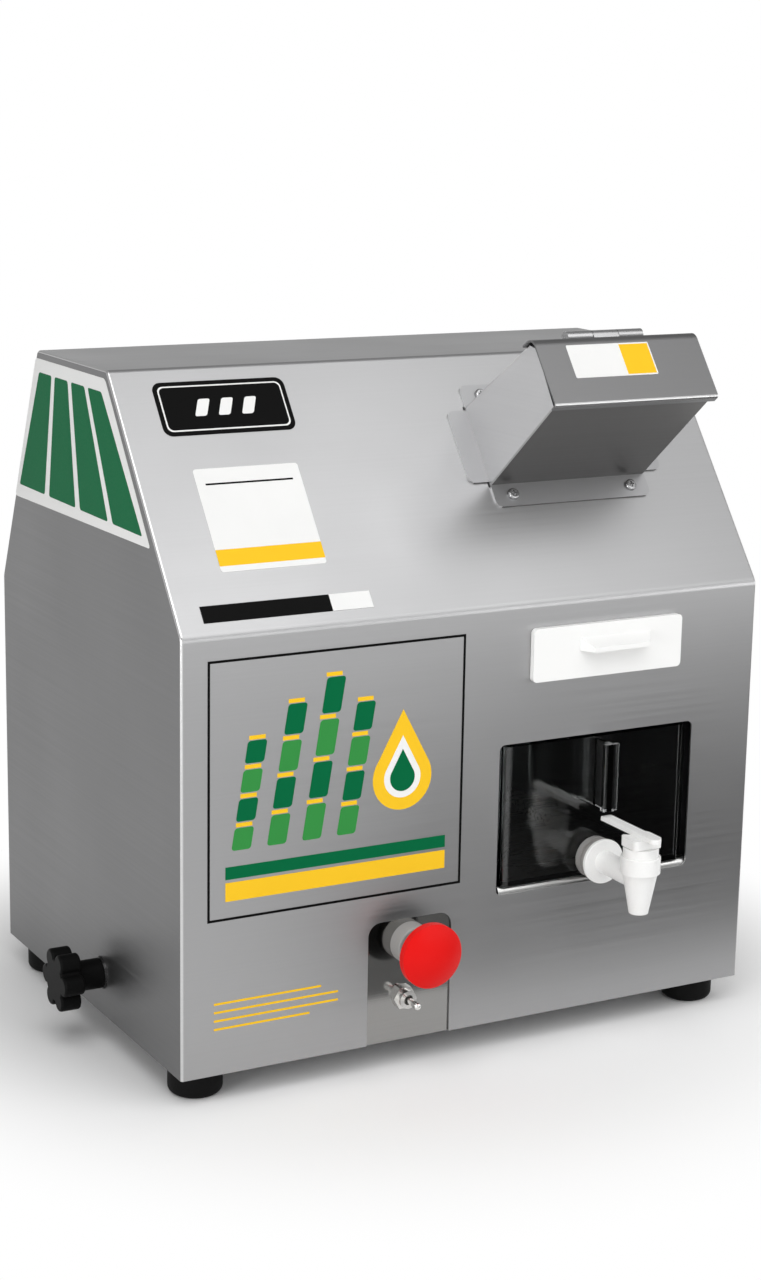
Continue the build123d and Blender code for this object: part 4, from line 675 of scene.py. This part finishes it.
@dataclass
class FrontPrint:
    """Outlined panel on the front with leaning stalks, a drop and two bands, and thin lines below it."""

    wall: Wall
    panel: Box = (17.5, 100.0, 195.5, 264.0)
    outline: float = 1.6
    band_inset: float = 12.0
    bands: tuple[tuple[float, float, Ink], ...] = ((12.0, 24.0, Ink.YELLOW), (26.0, 34.0, Ink.GREEN))
    stalk_heights: tuple[float, ...] = (72.0, 92.0, 106.0, 88.0)
    stalk_inset: float = 16.0
    stalk_pitch: float = 24.0
    stalk_up: float = 44.0
    stalk_width: float = 13.0
    stalk_lean: float = 0.16
    stalk_joints: int = 4
    joint_gap: float = 4.0
    joint_round: float = 2.0
    knot_inset: float = 3.0
    knot_overhang: float = 1.0
    knot_low: float = 3.4
    knot_high: float = 0.8
    drop_inset: float = 44.0
    drop_up: float = 76.0
    drop_radius: float = 21.0
    drop_tip: float = 2.1
    drop_arc: range = range(-215, 36, 10)
    drop_films: tuple[tuple[float, Ink], ...] = ((1.0, Ink.YELLOW), (0.62, Ink.WHITE), (0.42, Ink.GREEN))
    line_reaches: tuple[float, ...] = (74.0, 86.0, 86.0, 66.0)
    line_start: float = 22.0
    line_top: float = 46.0
    line_pitch: float = 5.5
    line_width: float = 1.4

    def build(self) -> None:
        """Prints the panel and the lines below it."""
        art = Artwork("front_print", self.wall)
        left, low, right, _ = self.panel
        art.ring(self.panel, self.outline, Ink.BLACK)
        for start, end, ink in self.bands:
            art.bar((left + self.band_inset, low + start, right - self.band_inset, low + end), ink)
        for number, height in enumerate(self.stalk_heights):
            foot = left + self.stalk_inset + self.stalk_pitch * number
            self.stalk(art, foot, low + self.stalk_up, height)
        self.drop(art, right - self.drop_inset, low + self.drop_up)
        for number, reach in enumerate(self.line_reaches):
            line = self.line_top - self.line_pitch * number
            art.bar((self.line_start, line, self.line_start + reach, line + self.line_width), Ink.YELLOW)
        art.finish("frame", "stainless")

    def stalk(self, art: Artwork, foot: float, low: float, height: float) -> None:
        """Adds one leaning cane stalk of joints with a bright knot at the top of each.

        Args:
            art: The print that it belongs to.
            foot: The left of its foot, along the wall.
            low: The bottom of its foot.
            height: Its height.
        """
        step = height / self.stalk_joints
        for number in range(self.stalk_joints):
            start = low + number * step
            end = start + step
            left = foot + number * step * self.stalk_lean
            right = left + self.stalk_width
            ink = Ink.GREEN if number % 2 else Ink.LEAF
            lean = (step - self.joint_gap) * self.stalk_lean
            art.bar((left, start, right, end - self.joint_gap), ink, 0, self.joint_round, lean)
            knot = (
                left + self.knot_inset,
                end - self.knot_low,
                right + self.knot_overhang,
                end - self.knot_high,
            )
            art.bar(knot, Ink.YELLOW)

    def drop(self, art: Artwork, along: float, up: float) -> None:
        """Adds a drop with a lighter heart.

        Args:
            art: The print that it belongs to.
            along: The middle of its round part, along the wall.
            up: The middle of its round part, up the wall.
        """
        turns = [math.radians(angle) for angle in self.drop_arc]
        for layer, (share, ink) in enumerate(self.drop_films):
            size = self.drop_radius * share
            points = [(along + size * math.cos(turn), up + size * math.sin(turn)) for turn in turns]
            points.append((along, up + self.drop_tip * size))
            art.shape(points, ink, layer)


@dataclass
class SlopeLabels:
    """Dark plate, blank card and narrow strip on the front slope."""

    wall: Wall
    plate_films: tuple[tuple[Box, Ink, float], ...] = (
        ((26.4, 135.0, 117.0, 173.0), Ink.BLACK, 6.0),
        ((29.4, 138.0, 114.0, 170.0), Ink.WHITE, 4.0),
        ((30.4, 139.0, 113.0, 169.0), Ink.BLACK, 3.5),
    )
    marks: int = 3
    mark: Box = (50.0, 148.0, 58.0, 160.0)
    mark_pitch: float = 16.0
    mark_round: float = 1.5
    mark_lean: float = 5.0
    card: Box = (38.0, 41.0, 109.5, 111.5)
    card_round: float = 2.0
    card_band: Box = (38.0, 45.0, 109.5, 56.0)
    card_line: Box = (44.0, 100.0, 103.5, 101.2)
    strip: Box = (17.5, 8.7, 132.0, 20.0)
    strip_end: Box = (104.0, 8.7, 132.0, 20.0)

    def build(self) -> None:
        """Prints the three labels."""
        plate = Artwork("slope_plate", self.wall)
        for layer, (box, ink, round_by) in enumerate(self.plate_films):
            plate.bar(box, ink, layer, round_by)
        left, low, right, high = self.mark
        for number in range(self.marks):
            shift = self.mark_pitch * number
            box = (left + shift, low, right + shift, high)
            plate.bar(box, Ink.WHITE, len(self.plate_films), self.mark_round, self.mark_lean)
        plate.finish("frame", "stainless")
        card = Artwork("slope_card", self.wall)
        card.bar(self.card, Ink.WHITE, 0, self.card_round)
        card.bar(self.card_band, Ink.YELLOW, 1)
        card.bar(self.card_line, Ink.BLACK, 1)
        card.finish("frame", "stainless")
        strip = Artwork("slope_strip", self.wall)
        strip.bar(self.strip, Ink.BLACK)
        strip.bar(self.strip_end, Ink.WHITE, 1)
        strip.finish("frame", "stainless")


@dataclass
class SidePrint:
    """White field on the left side with green bands that spread from the top."""

    wall: Wall
    corners: tuple[Spot, ...] = ((27.0, 322.0), (256.0, 325.5), (187.0, 419.8), (69.0, 419.8))
    corner_round: float = 3.0
    bands: int = 4
    band_low: float = 331.0
    band_high: float = 411.0
    band_round: float = 2.0
    first_foot: float = 36.0
    foot_pitch: float = 54.0
    foot_width: float = 46.0
    first_head: float = 75.0
    head_pitch: float = 28.0
    head_width: float = 22.0

    def build(self) -> None:
        """Prints the field and its bands."""
        art = Artwork("side_print", self.wall)
        art.shape(self.corners, Ink.WHITE, 0, self.corner_round)
        for number in range(self.bands):
            foot = self.first_foot + self.foot_pitch * number
            head = self.first_head + self.head_pitch * number
            band = (
                (foot, self.band_low),
                (foot + self.foot_width, self.band_low),
                (head + self.head_width, self.band_high),
                (head, self.band_high),
            )
            art.shape(band, Ink.GREEN, 1, self.band_round)
        art.finish("frame", "stainless")


@dataclass
class Cabinet:
    """Hood, base pan and feet, with the prints on the hood."""

    hood: Hood = Hood()
    sides: tuple[str, ...] = ("hood_left_side", "hood_right_side")
    rim_limit: float = 0.2
    hood_sheet: Finish = SheetFinish("hood_sheet")
    # Side panels' steel with a darker tint: painted shade that makes them darker than the front. Their rims
    # keep the hood's tint.
    side_painted_shade_sheet: Finish = SheetFinish("side_painted_shade_sheet", tint=(0.202, 0.202, 0.204), grain=Grain.DEEP)
    pan_sheet: Finish = SheetFinish("pan_sheet")
    rubber: Finish = MouldedFinish("foot_rubber", (0.008, 0.008, 0.008), roughness=0.55, specular=0.06)
    screws: Finish = SheetFinish("screw_steel", roughness=0.25)

    def build(self) -> None:
        """Dresses the sheets, the side panels with a darker tint for painted shade, gives the folds of the
        side panels a painted highlight, dresses the feet, and prints the walls.
        """
        wrap = dress(["hood_wrap"], self.hood_sheet)
        dress(self.sides, self.side_painted_shade_sheet)
        fold = FOLD_PAINTED_HIGHLIGHT.material()
        for name in self.sides:
            refinish(name, wrap, lambda normal: abs(normal.x) < self.rim_limit)
            refinish(name, fold, lambda normal: self.rim_limit <= abs(normal.x) <= ALIGNED)
        dress(["base_pan"], self.pan_sheet)
        dress(["feet"], self.rubber)
        dress(["foot_screws"], self.screws)
        FrontPrint(self.hood.front()).build()
        SlopeLabels(self.hood.slope()).build()
        SidePrint(self.hood.left()).build()


@dataclass
class Feed:
    """Chute, flap and hinge on the front slope."""

    hood: Hood = Hood()
    reach: float = 100.1
    label: Box = (261.0, 105.5, 322.5, 129.0)
    label_round: float = 1.0
    label_end: Box = (300.0, 106.5, 321.5, 128.0)
    every_way: Place = (0.0, 0.0, 0.0)
    forwards_down: Place = (0.0, -1.0, -1.2)
    chute_sheet: Finish = SheetFinish(
        "chute_sheet", tint=(0.395, 0.395, 0.402), shade=0.97, spread=0.04, depth=0.000008, anisotropy=0.0
    )
    # Brighter tint of the chute's side walls: painted light.
    cheek_painted_light_sheet: Finish = SheetFinish("cheek_painted_light_sheet", tint=(0.68, 0.68, 0.685), grain=Grain.DEEP)
    # Much darker tint of the chute's walls that face along the slope: painted shade.
    under_painted_shade_sheet: Finish = SheetFinish("under_painted_shade_sheet", tint=(0.150, 0.148, 0.145), anisotropy=0.0)
    # Darker tint of the flap's steel: painted shade.
    flap_painted_shade_sheet: Finish = SheetFinish("flap_painted_shade_sheet", tint=(0.22, 0.22, 0.222))
    hinge_steel: Finish = SheetFinish("hinge_steel", roughness=0.22, anisotropy=0.0)

    def build(self) -> None:
        """Dresses the chute wall by wall, with painted light on its side walls, painted shade on its walls
        that face along the slope and a painted highlight on its folds, then the flap, with painted shade and
        a painted highlight on its folds that look forwards and down, and the hinge, and puts a blank label
        on the flap.
        """
        slope = self.hood.slope()
        dress(["feed_chute"], self.chute_sheet)
        self.paint_fold_highlight("feed_chute", slope, self.every_way)
        # Painted light: the chute's side walls get the brighter tint.
        cheek = self.cheek_painted_light_sheet.material()
        refinish("feed_chute", cheek, lambda normal: abs(normal.x) > ALIGNED)
        # Painted shade: the chute's walls that face along the slope get the dark tint.
        under = self.under_painted_shade_sheet.material()
        refinish("feed_chute", under, lambda normal: abs(normal.dot(slope.up)) > ALIGNED)
        dress(["feed_flap"], self.flap_painted_shade_sheet)
        self.paint_fold_highlight("feed_flap", slope, self.forwards_down)
        dress(["chute_hinge_leaf", "flap_hinge_leaf", "hinge_pin", "hood_screws"], self.hinge_steel)
        art = Artwork("flap_label", slope.raised(self.reach))
        art.bar(self.label, Ink.WHITE, 0, self.label_round)
        art.bar(self.label_end, Ink.YELLOW, 1)
        art.finish("feed_flap", "stainless")

    @staticmethod
    def paint_fold_highlight(name: str, slope: Wall, facing: Place) -> None:
        """Gives the folds and corners of a node, which follow none of its flat walls, a painted highlight: a
        brighter tint of the steel.

        Args:
            name: The node's name.
            slope: The slope, whose directions its flat walls keep to.
            facing: A direction that the folds look to, or zero for all of them.
        """
        ways = (slope.along, slope.up, slope.out)
        towards = Vector(facing)

        def is_fold(normal: Vector) -> bool:
            """Says whether a face looks the right way and follows no flat wall."""
            return normal.dot(towards) >= 0.0 and all(abs(normal.dot(way)) < ALIGNED for way in ways)

        refinish(name, bpy.data.materials[FOLD_PAINTED_HIGHLIGHT.name], is_fold)


@dataclass
class Outlet:
    """Fibre outlet and cord gland at the rear."""

    sheet: Finish = SheetFinish("outlet_sheet", roughness=0.36, grain=Grain.DEEP)
    plastic: Finish = MouldedFinish("gland_plastic", (0.015, 0.015, 0.015), roughness=0.45)

    def build(self) -> None:
        """Dresses the outlet and the gland."""
        dress(["bagasse_hood"], self.sheet)
        dress(["cord_gland"], self.plastic)


@dataclass
class Drawer:
    """Strainer drawer with its strainer and rails, the funnel and the scraper."""

    plastic: Finish = MouldedFinish(
        "drawer_plastic", (0.90, 0.90, 0.89), shade=0.96, roughness=0.35, coat=0.1
    )
    # Darker tint of the sheets inside the hood: painted shade.
    inner: Finish = SheetFinish("inner_painted_shade_sheet", tint=(0.26, 0.26, 0.258), roughness=0.36, grain=Grain.DEEP)

    def build(self) -> None:
        """Dresses the drawer, and the sheets around it with a darker tint for painted shade."""
        dress(["strainer_drawer"], self.plastic)
        dress(["strainer_plate", "drawer_rails", "juice_funnel", "scraper_plate"], self.inner)


@dataclass
class Tank:
    """Clear juice tank with its handle, tap and shelf."""

    clear: Finish = ClearFinish("tank_clear")
    plastic: Finish = MouldedFinish("tap_plastic", (0.90, 0.90, 0.89), shade=0.97, roughness=0.3, coat=0.15)
    gasket: Finish = MouldedFinish("gasket_rubber", (0.32, 0.31, 0.3))
    nut: Finish = SheetFinish("nut_steel", roughness=0.2)
    shelf: Finish = SheetFinish("shelf_sheet", tint=(0.62, 0.62, 0.61), roughness=0.28)

    def build(self) -> None:
        """Dresses the tank, the tap and the shelf."""
        dress(["juice_tank", "tank_handle"], self.clear)
        dress(["tap_body", "tap_lever", "tap_stem"], self.plastic)
        dress(["tap_gasket"], self.gasket)
        dress(["tap_nut"], self.nut)
        dress(["tank_shelf"], self.shelf)


@dataclass
class Switches:
    """Switch panel with the stop button and the toggle."""

    shaded_back_limit: float = 0.3
    panel: Finish = SheetFinish(
        "panel_mirror", tint=(0.36, 0.358, 0.35), roughness=0.12, spread=0.03, anisotropy=0.2
    )
    red: Finish = MouldedFinish("stop_red", (0.76, 0.008, 0.007), shade=0.94, roughness=0.34, specular=0.1)
    # Black for the back of the red head: painted shade.
    back: Finish = MouldedFinish("stop_back_painted_shade", (0.01, 0.01, 0.01), specular=0.1)
    grey: Finish = MouldedFinish("collar_grey", (0.36, 0.35, 0.34))
    block: Finish = MouldedFinish("block_black", (0.02, 0.02, 0.02))
    chrome: Finish = SheetFinish(
        "toggle_chrome", tint=(0.86, 0.85, 0.83), roughness=0.24, spread=0.03, anisotropy=0.0
    )

    def build(self) -> None:
        """Dresses the switches, with painted shade on the head of the stop button: its back, which faces the
        panel, is black instead of red.
        """
        dress(["switch_panel"], self.panel)
        dress(["estop_button"], self.red)
        refinish("estop_button", self.back.material(), lambda normal: normal.y > self.shaded_back_limit)
        dress(["estop_collar", "estop_stem"], self.grey)
        dress(["estop_contact_block"], self.block)
        dress(["toggle_body", "toggle_nut", "toggle_lever"], self.chrome)


@dataclass
class Knobs:
    """Star knobs with their washers."""

    black: Finish = MouldedFinish(
        "knob_black", (0.007, 0.007, 0.007), roughness=0.36, scale=2400.0, specular=0.03
    )
    # Dark washers: painted shade under the knobs.
    washer: Finish = SheetFinish("washer_painted_shade", tint=(0.12, 0.12, 0.12), roughness=0.3)

    def build(self) -> None:
        """Dresses the knobs and the washers."""
        dress(["knob_left", "knob_right"], self.black)
        dress(["knob_left_washer", "knob_right_washer"], self.washer)


@dataclass
class Mill:
    """Rollers, cheeks, gears, belt and motor inside the hood."""

    roller: Finish = SheetFinish("roller_steel", roughness=0.28, grain=Grain.UPRIGHT)
    # Near-black cheeks and gear plate: painted shade for the dark inside of the hood.
    plate: Finish = MouldedFinish(
        "plate_paint", (0.012, 0.012, 0.013), roughness=0.6, scale=700.0, depth=0.00006
    )
    gear: Finish = MouldedFinish("gear_steel", (0.3, 0.3, 0.31), roughness=0.38, scale=900.0, metallic=1.0)
    cast: Finish = MouldedFinish(
        "pulley_iron", (0.08, 0.08, 0.085), roughness=0.5, scale=500.0, metallic=0.6
    )
    bronze: Finish = MouldedFinish("bush_bronze", (0.55, 0.34, 0.12), roughness=0.32, metallic=1.0)
    belt: Finish = MouldedFinish("belt_rubber", (0.015, 0.015, 0.015), roughness=0.6)
    paint: Finish = MouldedFinish("motor_paint", (0.05, 0.08, 0.11), scale=500.0, depth=0.00006)

    def build(self) -> None:
        """Dresses what is inside, with painted shade on the cheeks and the gear plate."""
        dress(["top_roller", "feed_roller", "discharge_roller", "trash_plate", "tie_rods"], self.roller)
        dress(["left_cheek", "right_cheek", "gear_plate"], self.plate)
        shafts = ["first_pinion_shaft", "second_pinion_shaft", "motor_shaft"]
        crowns = ["top_crown_gear", "feed_crown_gear", "discharge_crown_gear"]
        dress(["bull_gear", "first_gear", *crowns, *shafts], self.gear)
        dress(["large_pulley", "motor_pulley"], self.cast)
        dress(["shaft_bushes"], self.bronze)
        dress(["drive_belt"], self.belt)
        dress(["motor_housing"], self.paint)


@dataclass(frozen=True)
class SoftBox:
    """A soft lamp with a flat face, in metres and watts."""

    name: str
    place: Place
    aim: Place
    size: Spot
    power: float

    def build(self) -> None:
        """Puts the lamp in the scene, with its face to its aim."""
        light = bpy.data.lights.new(self.name, "AREA")
        light.shape = "RECTANGLE"
        light.size, light.size_y = self.size
        light.energy = self.power
        lamp = bpy.data.objects.new(self.name, light)
        lamp.location = self.place
        way = Vector(self.aim) - Vector(self.place)
        lamp.rotation_euler = way.to_track_quat("-Z", "Y").to_euler()
        lamp.visible_camera = False
        bpy.context.scene.collection.objects.link(lamp)


@dataclass
class Studio:
    """Pale floor, a dark cloth for a painted reflection, surround, soft lamps and the camera, in metres."""

    camera_place: Place = (-0.79426, -1.45792, 0.63379)
    azimuth: float = 28.783
    elevation: float = -13.119
    roll: float = 0.996
    focal_pixels: float = 2491.0
    image_height: float = 1280.0
    sensor: float = 36.0
    clip_start: float = 0.01
    sky: float = 0.62
    white_to: float = 0.06
    grey_from: float = 0.40
    zenith: float = 0.38
    floor_size: float = 30.0
    floor_tint: float = 0.95
    floor_roughness: float = 0.9
    shadow_near: float = 0.21
    shadow_far: float = 0.41
    drape_near: float = 0.24
    drape_far: float = 0.04
    drape_fade: Spot = (0.10, 0.30)
    drape_height: float = 0.004
    drape_corners: tuple[Spot, ...] = (
        (-0.06, -0.255), (0.05, -0.43), (0.32, -0.92), (0.80, -0.88), (2.0, -1.2), (2.0, -0.2), (0.32, -0.25)
    )
    lamps: tuple[SoftBox, ...] = (
        SoftBox("key_box", (0.42, -1.15, 1.50), (-0.05, -0.12, 0.34), (1.4, 1.4), 11.2),
        SoftBox("left_box", (-0.77, -0.92, 1.71), (0.03, -0.15, 0.40), (1.1, 1.1), 11.5),
        SoftBox("crease_box", (0.35, -0.68, 0.33), (0.0, -0.15, 0.27), (1.0, 0.10), 0.80),
        SoftBox("edge_box", (-1.20, -0.62, 0.30), (-0.21, -0.12, 0.26), (0.35, 0.40), 4.2),
    )

    def build(self) -> None:
        """Sets the stage."""
        self.floor()
        self.painted_reflection_drape()
        self.world()
        for lamp in self.lamps:
            lamp.build()
        self.camera()
        bpy.context.scene.view_settings.view_transform = "Standard"

    def floor(self) -> None:
        """Pale floor that the machine stands on."""
        bm = bmesh.new()
        bmesh.ops.create_grid(bm, x_segments=1, y_segments=1, size=self.floor_size)
        floor = stand("floor", bm)
        floor.data.materials.append(self.floor_paint())

    def painted_reflection_drape(self) -> None:
        """Dark cloth on the floor that the camera, shadows and diffuse light pass through, so that it shows
        only as a painted dark reflection in the metal and the tank.
        """
        bm = bmesh.new()
        bm.faces.new([bm.verts.new((*corner, self.drape_height)) for corner in self.drape_corners])
        painted_reflection_drape = stand("painted_reflection_drape", bm)
        painted_reflection_drape.data.materials.append(self.painted_reflection_cloth())
        painted_reflection_drape.visible_camera = False
        painted_reflection_drape.visible_shadow = False
        painted_reflection_drape.visible_diffuse = False

    def painted_reflection_cloth(self) -> bpy.types.Material:
        """Cloth whose painted reflection darkens to the right.

        Returns:
            The material.
        """
        material, desk, shader = fresh_material("painted_reflection_cloth")
        place = desk.add("SeparateXYZ")
        desk.join(desk.add("TexCoord").outputs["Object"], place.inputs["Vector"])
        fade = desk.ramp(place.outputs["X"], *self.drape_fade, Growth.EVEN)
        near = (self.drape_near, self.drape_near, self.drape_near)
        far = (self.drape_far, self.drape_far, self.drape_far)
        desk.join(desk.blend(fade, near, far), shader.inputs["Base Color"])
        shader.inputs["Specular IOR Level"].default_value = 0.0
        return material

    @staticmethod
    def seen(desk: Desk) -> bpy.types.NodeSocket:
        """Adds the test for a ray that shows the backdrop: to the camera, in metal or through glass.

        Args:
            desk: The material or world that asks.

        Returns:
            The socket that is 1 for such a ray.
        """
        path = desk.add("LightPath")
        either = desk.add("Math", operation="MAXIMUM")
        desk.join(path.outputs["Is Camera Ray"], either.inputs[0])
        desk.join(path.outputs["Is Glossy Ray"], either.inputs[1])
        any_of = desk.add("Math", operation="MAXIMUM")
        desk.join(either.outputs["Value"], any_of.inputs[0])
        desk.join(path.outputs["Is Transmission Ray"], any_of.inputs[1])
        return any_of.outputs["Value"]

    def floor_paint(self) -> bpy.types.Material:
        """Pale paint that keeps the machine's shadow near it and is plain white further off.

        Returns:
            The material.
        """
        material, desk, shader = fresh_material("floor_paint")
        shader.inputs["Base Color"].default_value = (self.floor_tint, self.floor_tint, self.floor_tint, 1.0)
        shader.inputs["Roughness"].default_value = self.floor_roughness
        shader.inputs["Specular IOR Level"].default_value = 0.0
        away = desk.add("VectorMath", operation="LENGTH")
        desk.join(desk.add("TexCoord").outputs["Object"], away.inputs[0])
        share = desk.add("Math", operation="MULTIPLY")
        fade = desk.ramp(away.outputs["Value"], self.shadow_near, self.shadow_far, Growth.SMOOTH)
        desk.join(fade, share.inputs[0])
        desk.join(self.seen(desk), share.inputs[1])
        white = desk.add("Emission")
        mixed = desk.add("MixShader")
        desk.join(share.outputs["Value"], mixed.inputs["Fac"])
        desk.join(shader.outputs["BSDF"], mixed.inputs[1])
        desk.join(white.outputs["Emission"], mixed.inputs[2])
        desk.join(mixed.outputs["Shader"], material.node_tree.nodes["Material Output"].inputs["Surface"])
        return material

    def world(self) -> None:
        """Surround, white at the horizon and grey overhead, that lights the machine at a plain level."""
        world = bpy.data.worlds.new("surround")
        world.use_nodes = True
        desk = Desk(world.node_tree)
        strength = desk.add("MapRange")
        strength.inputs["To Min"].default_value = self.sky
        strength.inputs["To Max"].default_value = 1.0
        desk.join(self.seen(desk), strength.inputs["Value"])
        way = desk.add("SeparateXYZ")
        desk.join(desk.add("TexCoord").outputs["Generated"], way.inputs["Vector"])
        height = desk.ramp(way.outputs["Z"], self.white_to, self.grey_from, Growth.SMOOTH)
        white = (1.0, 1.0, 1.0)
        grey = (self.zenith, self.zenith, self.zenith)
        back = world.node_tree.nodes["Background"]
        desk.join(desk.blend(height, white, grey), back.inputs["Color"])
        desk.join(strength.outputs["Result"], back.inputs["Strength"])
        bpy.context.scene.world = world

    def camera(self) -> None:
        """Camera at the photograph's angle."""
        lens = bpy.data.cameras.new("camera")
        lens.sensor_fit = "VERTICAL"
        lens.sensor_height = self.sensor
        lens.lens = self.focal_pixels / self.image_height * self.sensor
        lens.clip_start = self.clip_start
        camera = bpy.data.objects.new("camera", lens)
        turn = Matrix.Rotation(math.radians(-self.azimuth), 4, "Z")
        tilt = Matrix.Rotation(math.radians(90.0 + self.elevation), 4, "X")
        roll = Matrix.Rotation(math.radians(self.roll), 4, "Z")
        camera.matrix_world = Matrix.Translation(self.camera_place) @ turn @ tilt @ roll
        bpy.context.scene.collection.objects.link(camera)
        bpy.context.scene.camera = camera


def main() -> None:
    """Builds every sub-assembly in order and reports each piece."""
    logging.basicConfig(level=logging.INFO, format="%(name)s: %(message)s")
    for assembly in (Cabinet(), Feed(), Outlet(), Drawer(), Tank(), Switches(), Knobs(), Mill(), Studio()):
        assembly.build()


if __name__ == "__main__":
    main()
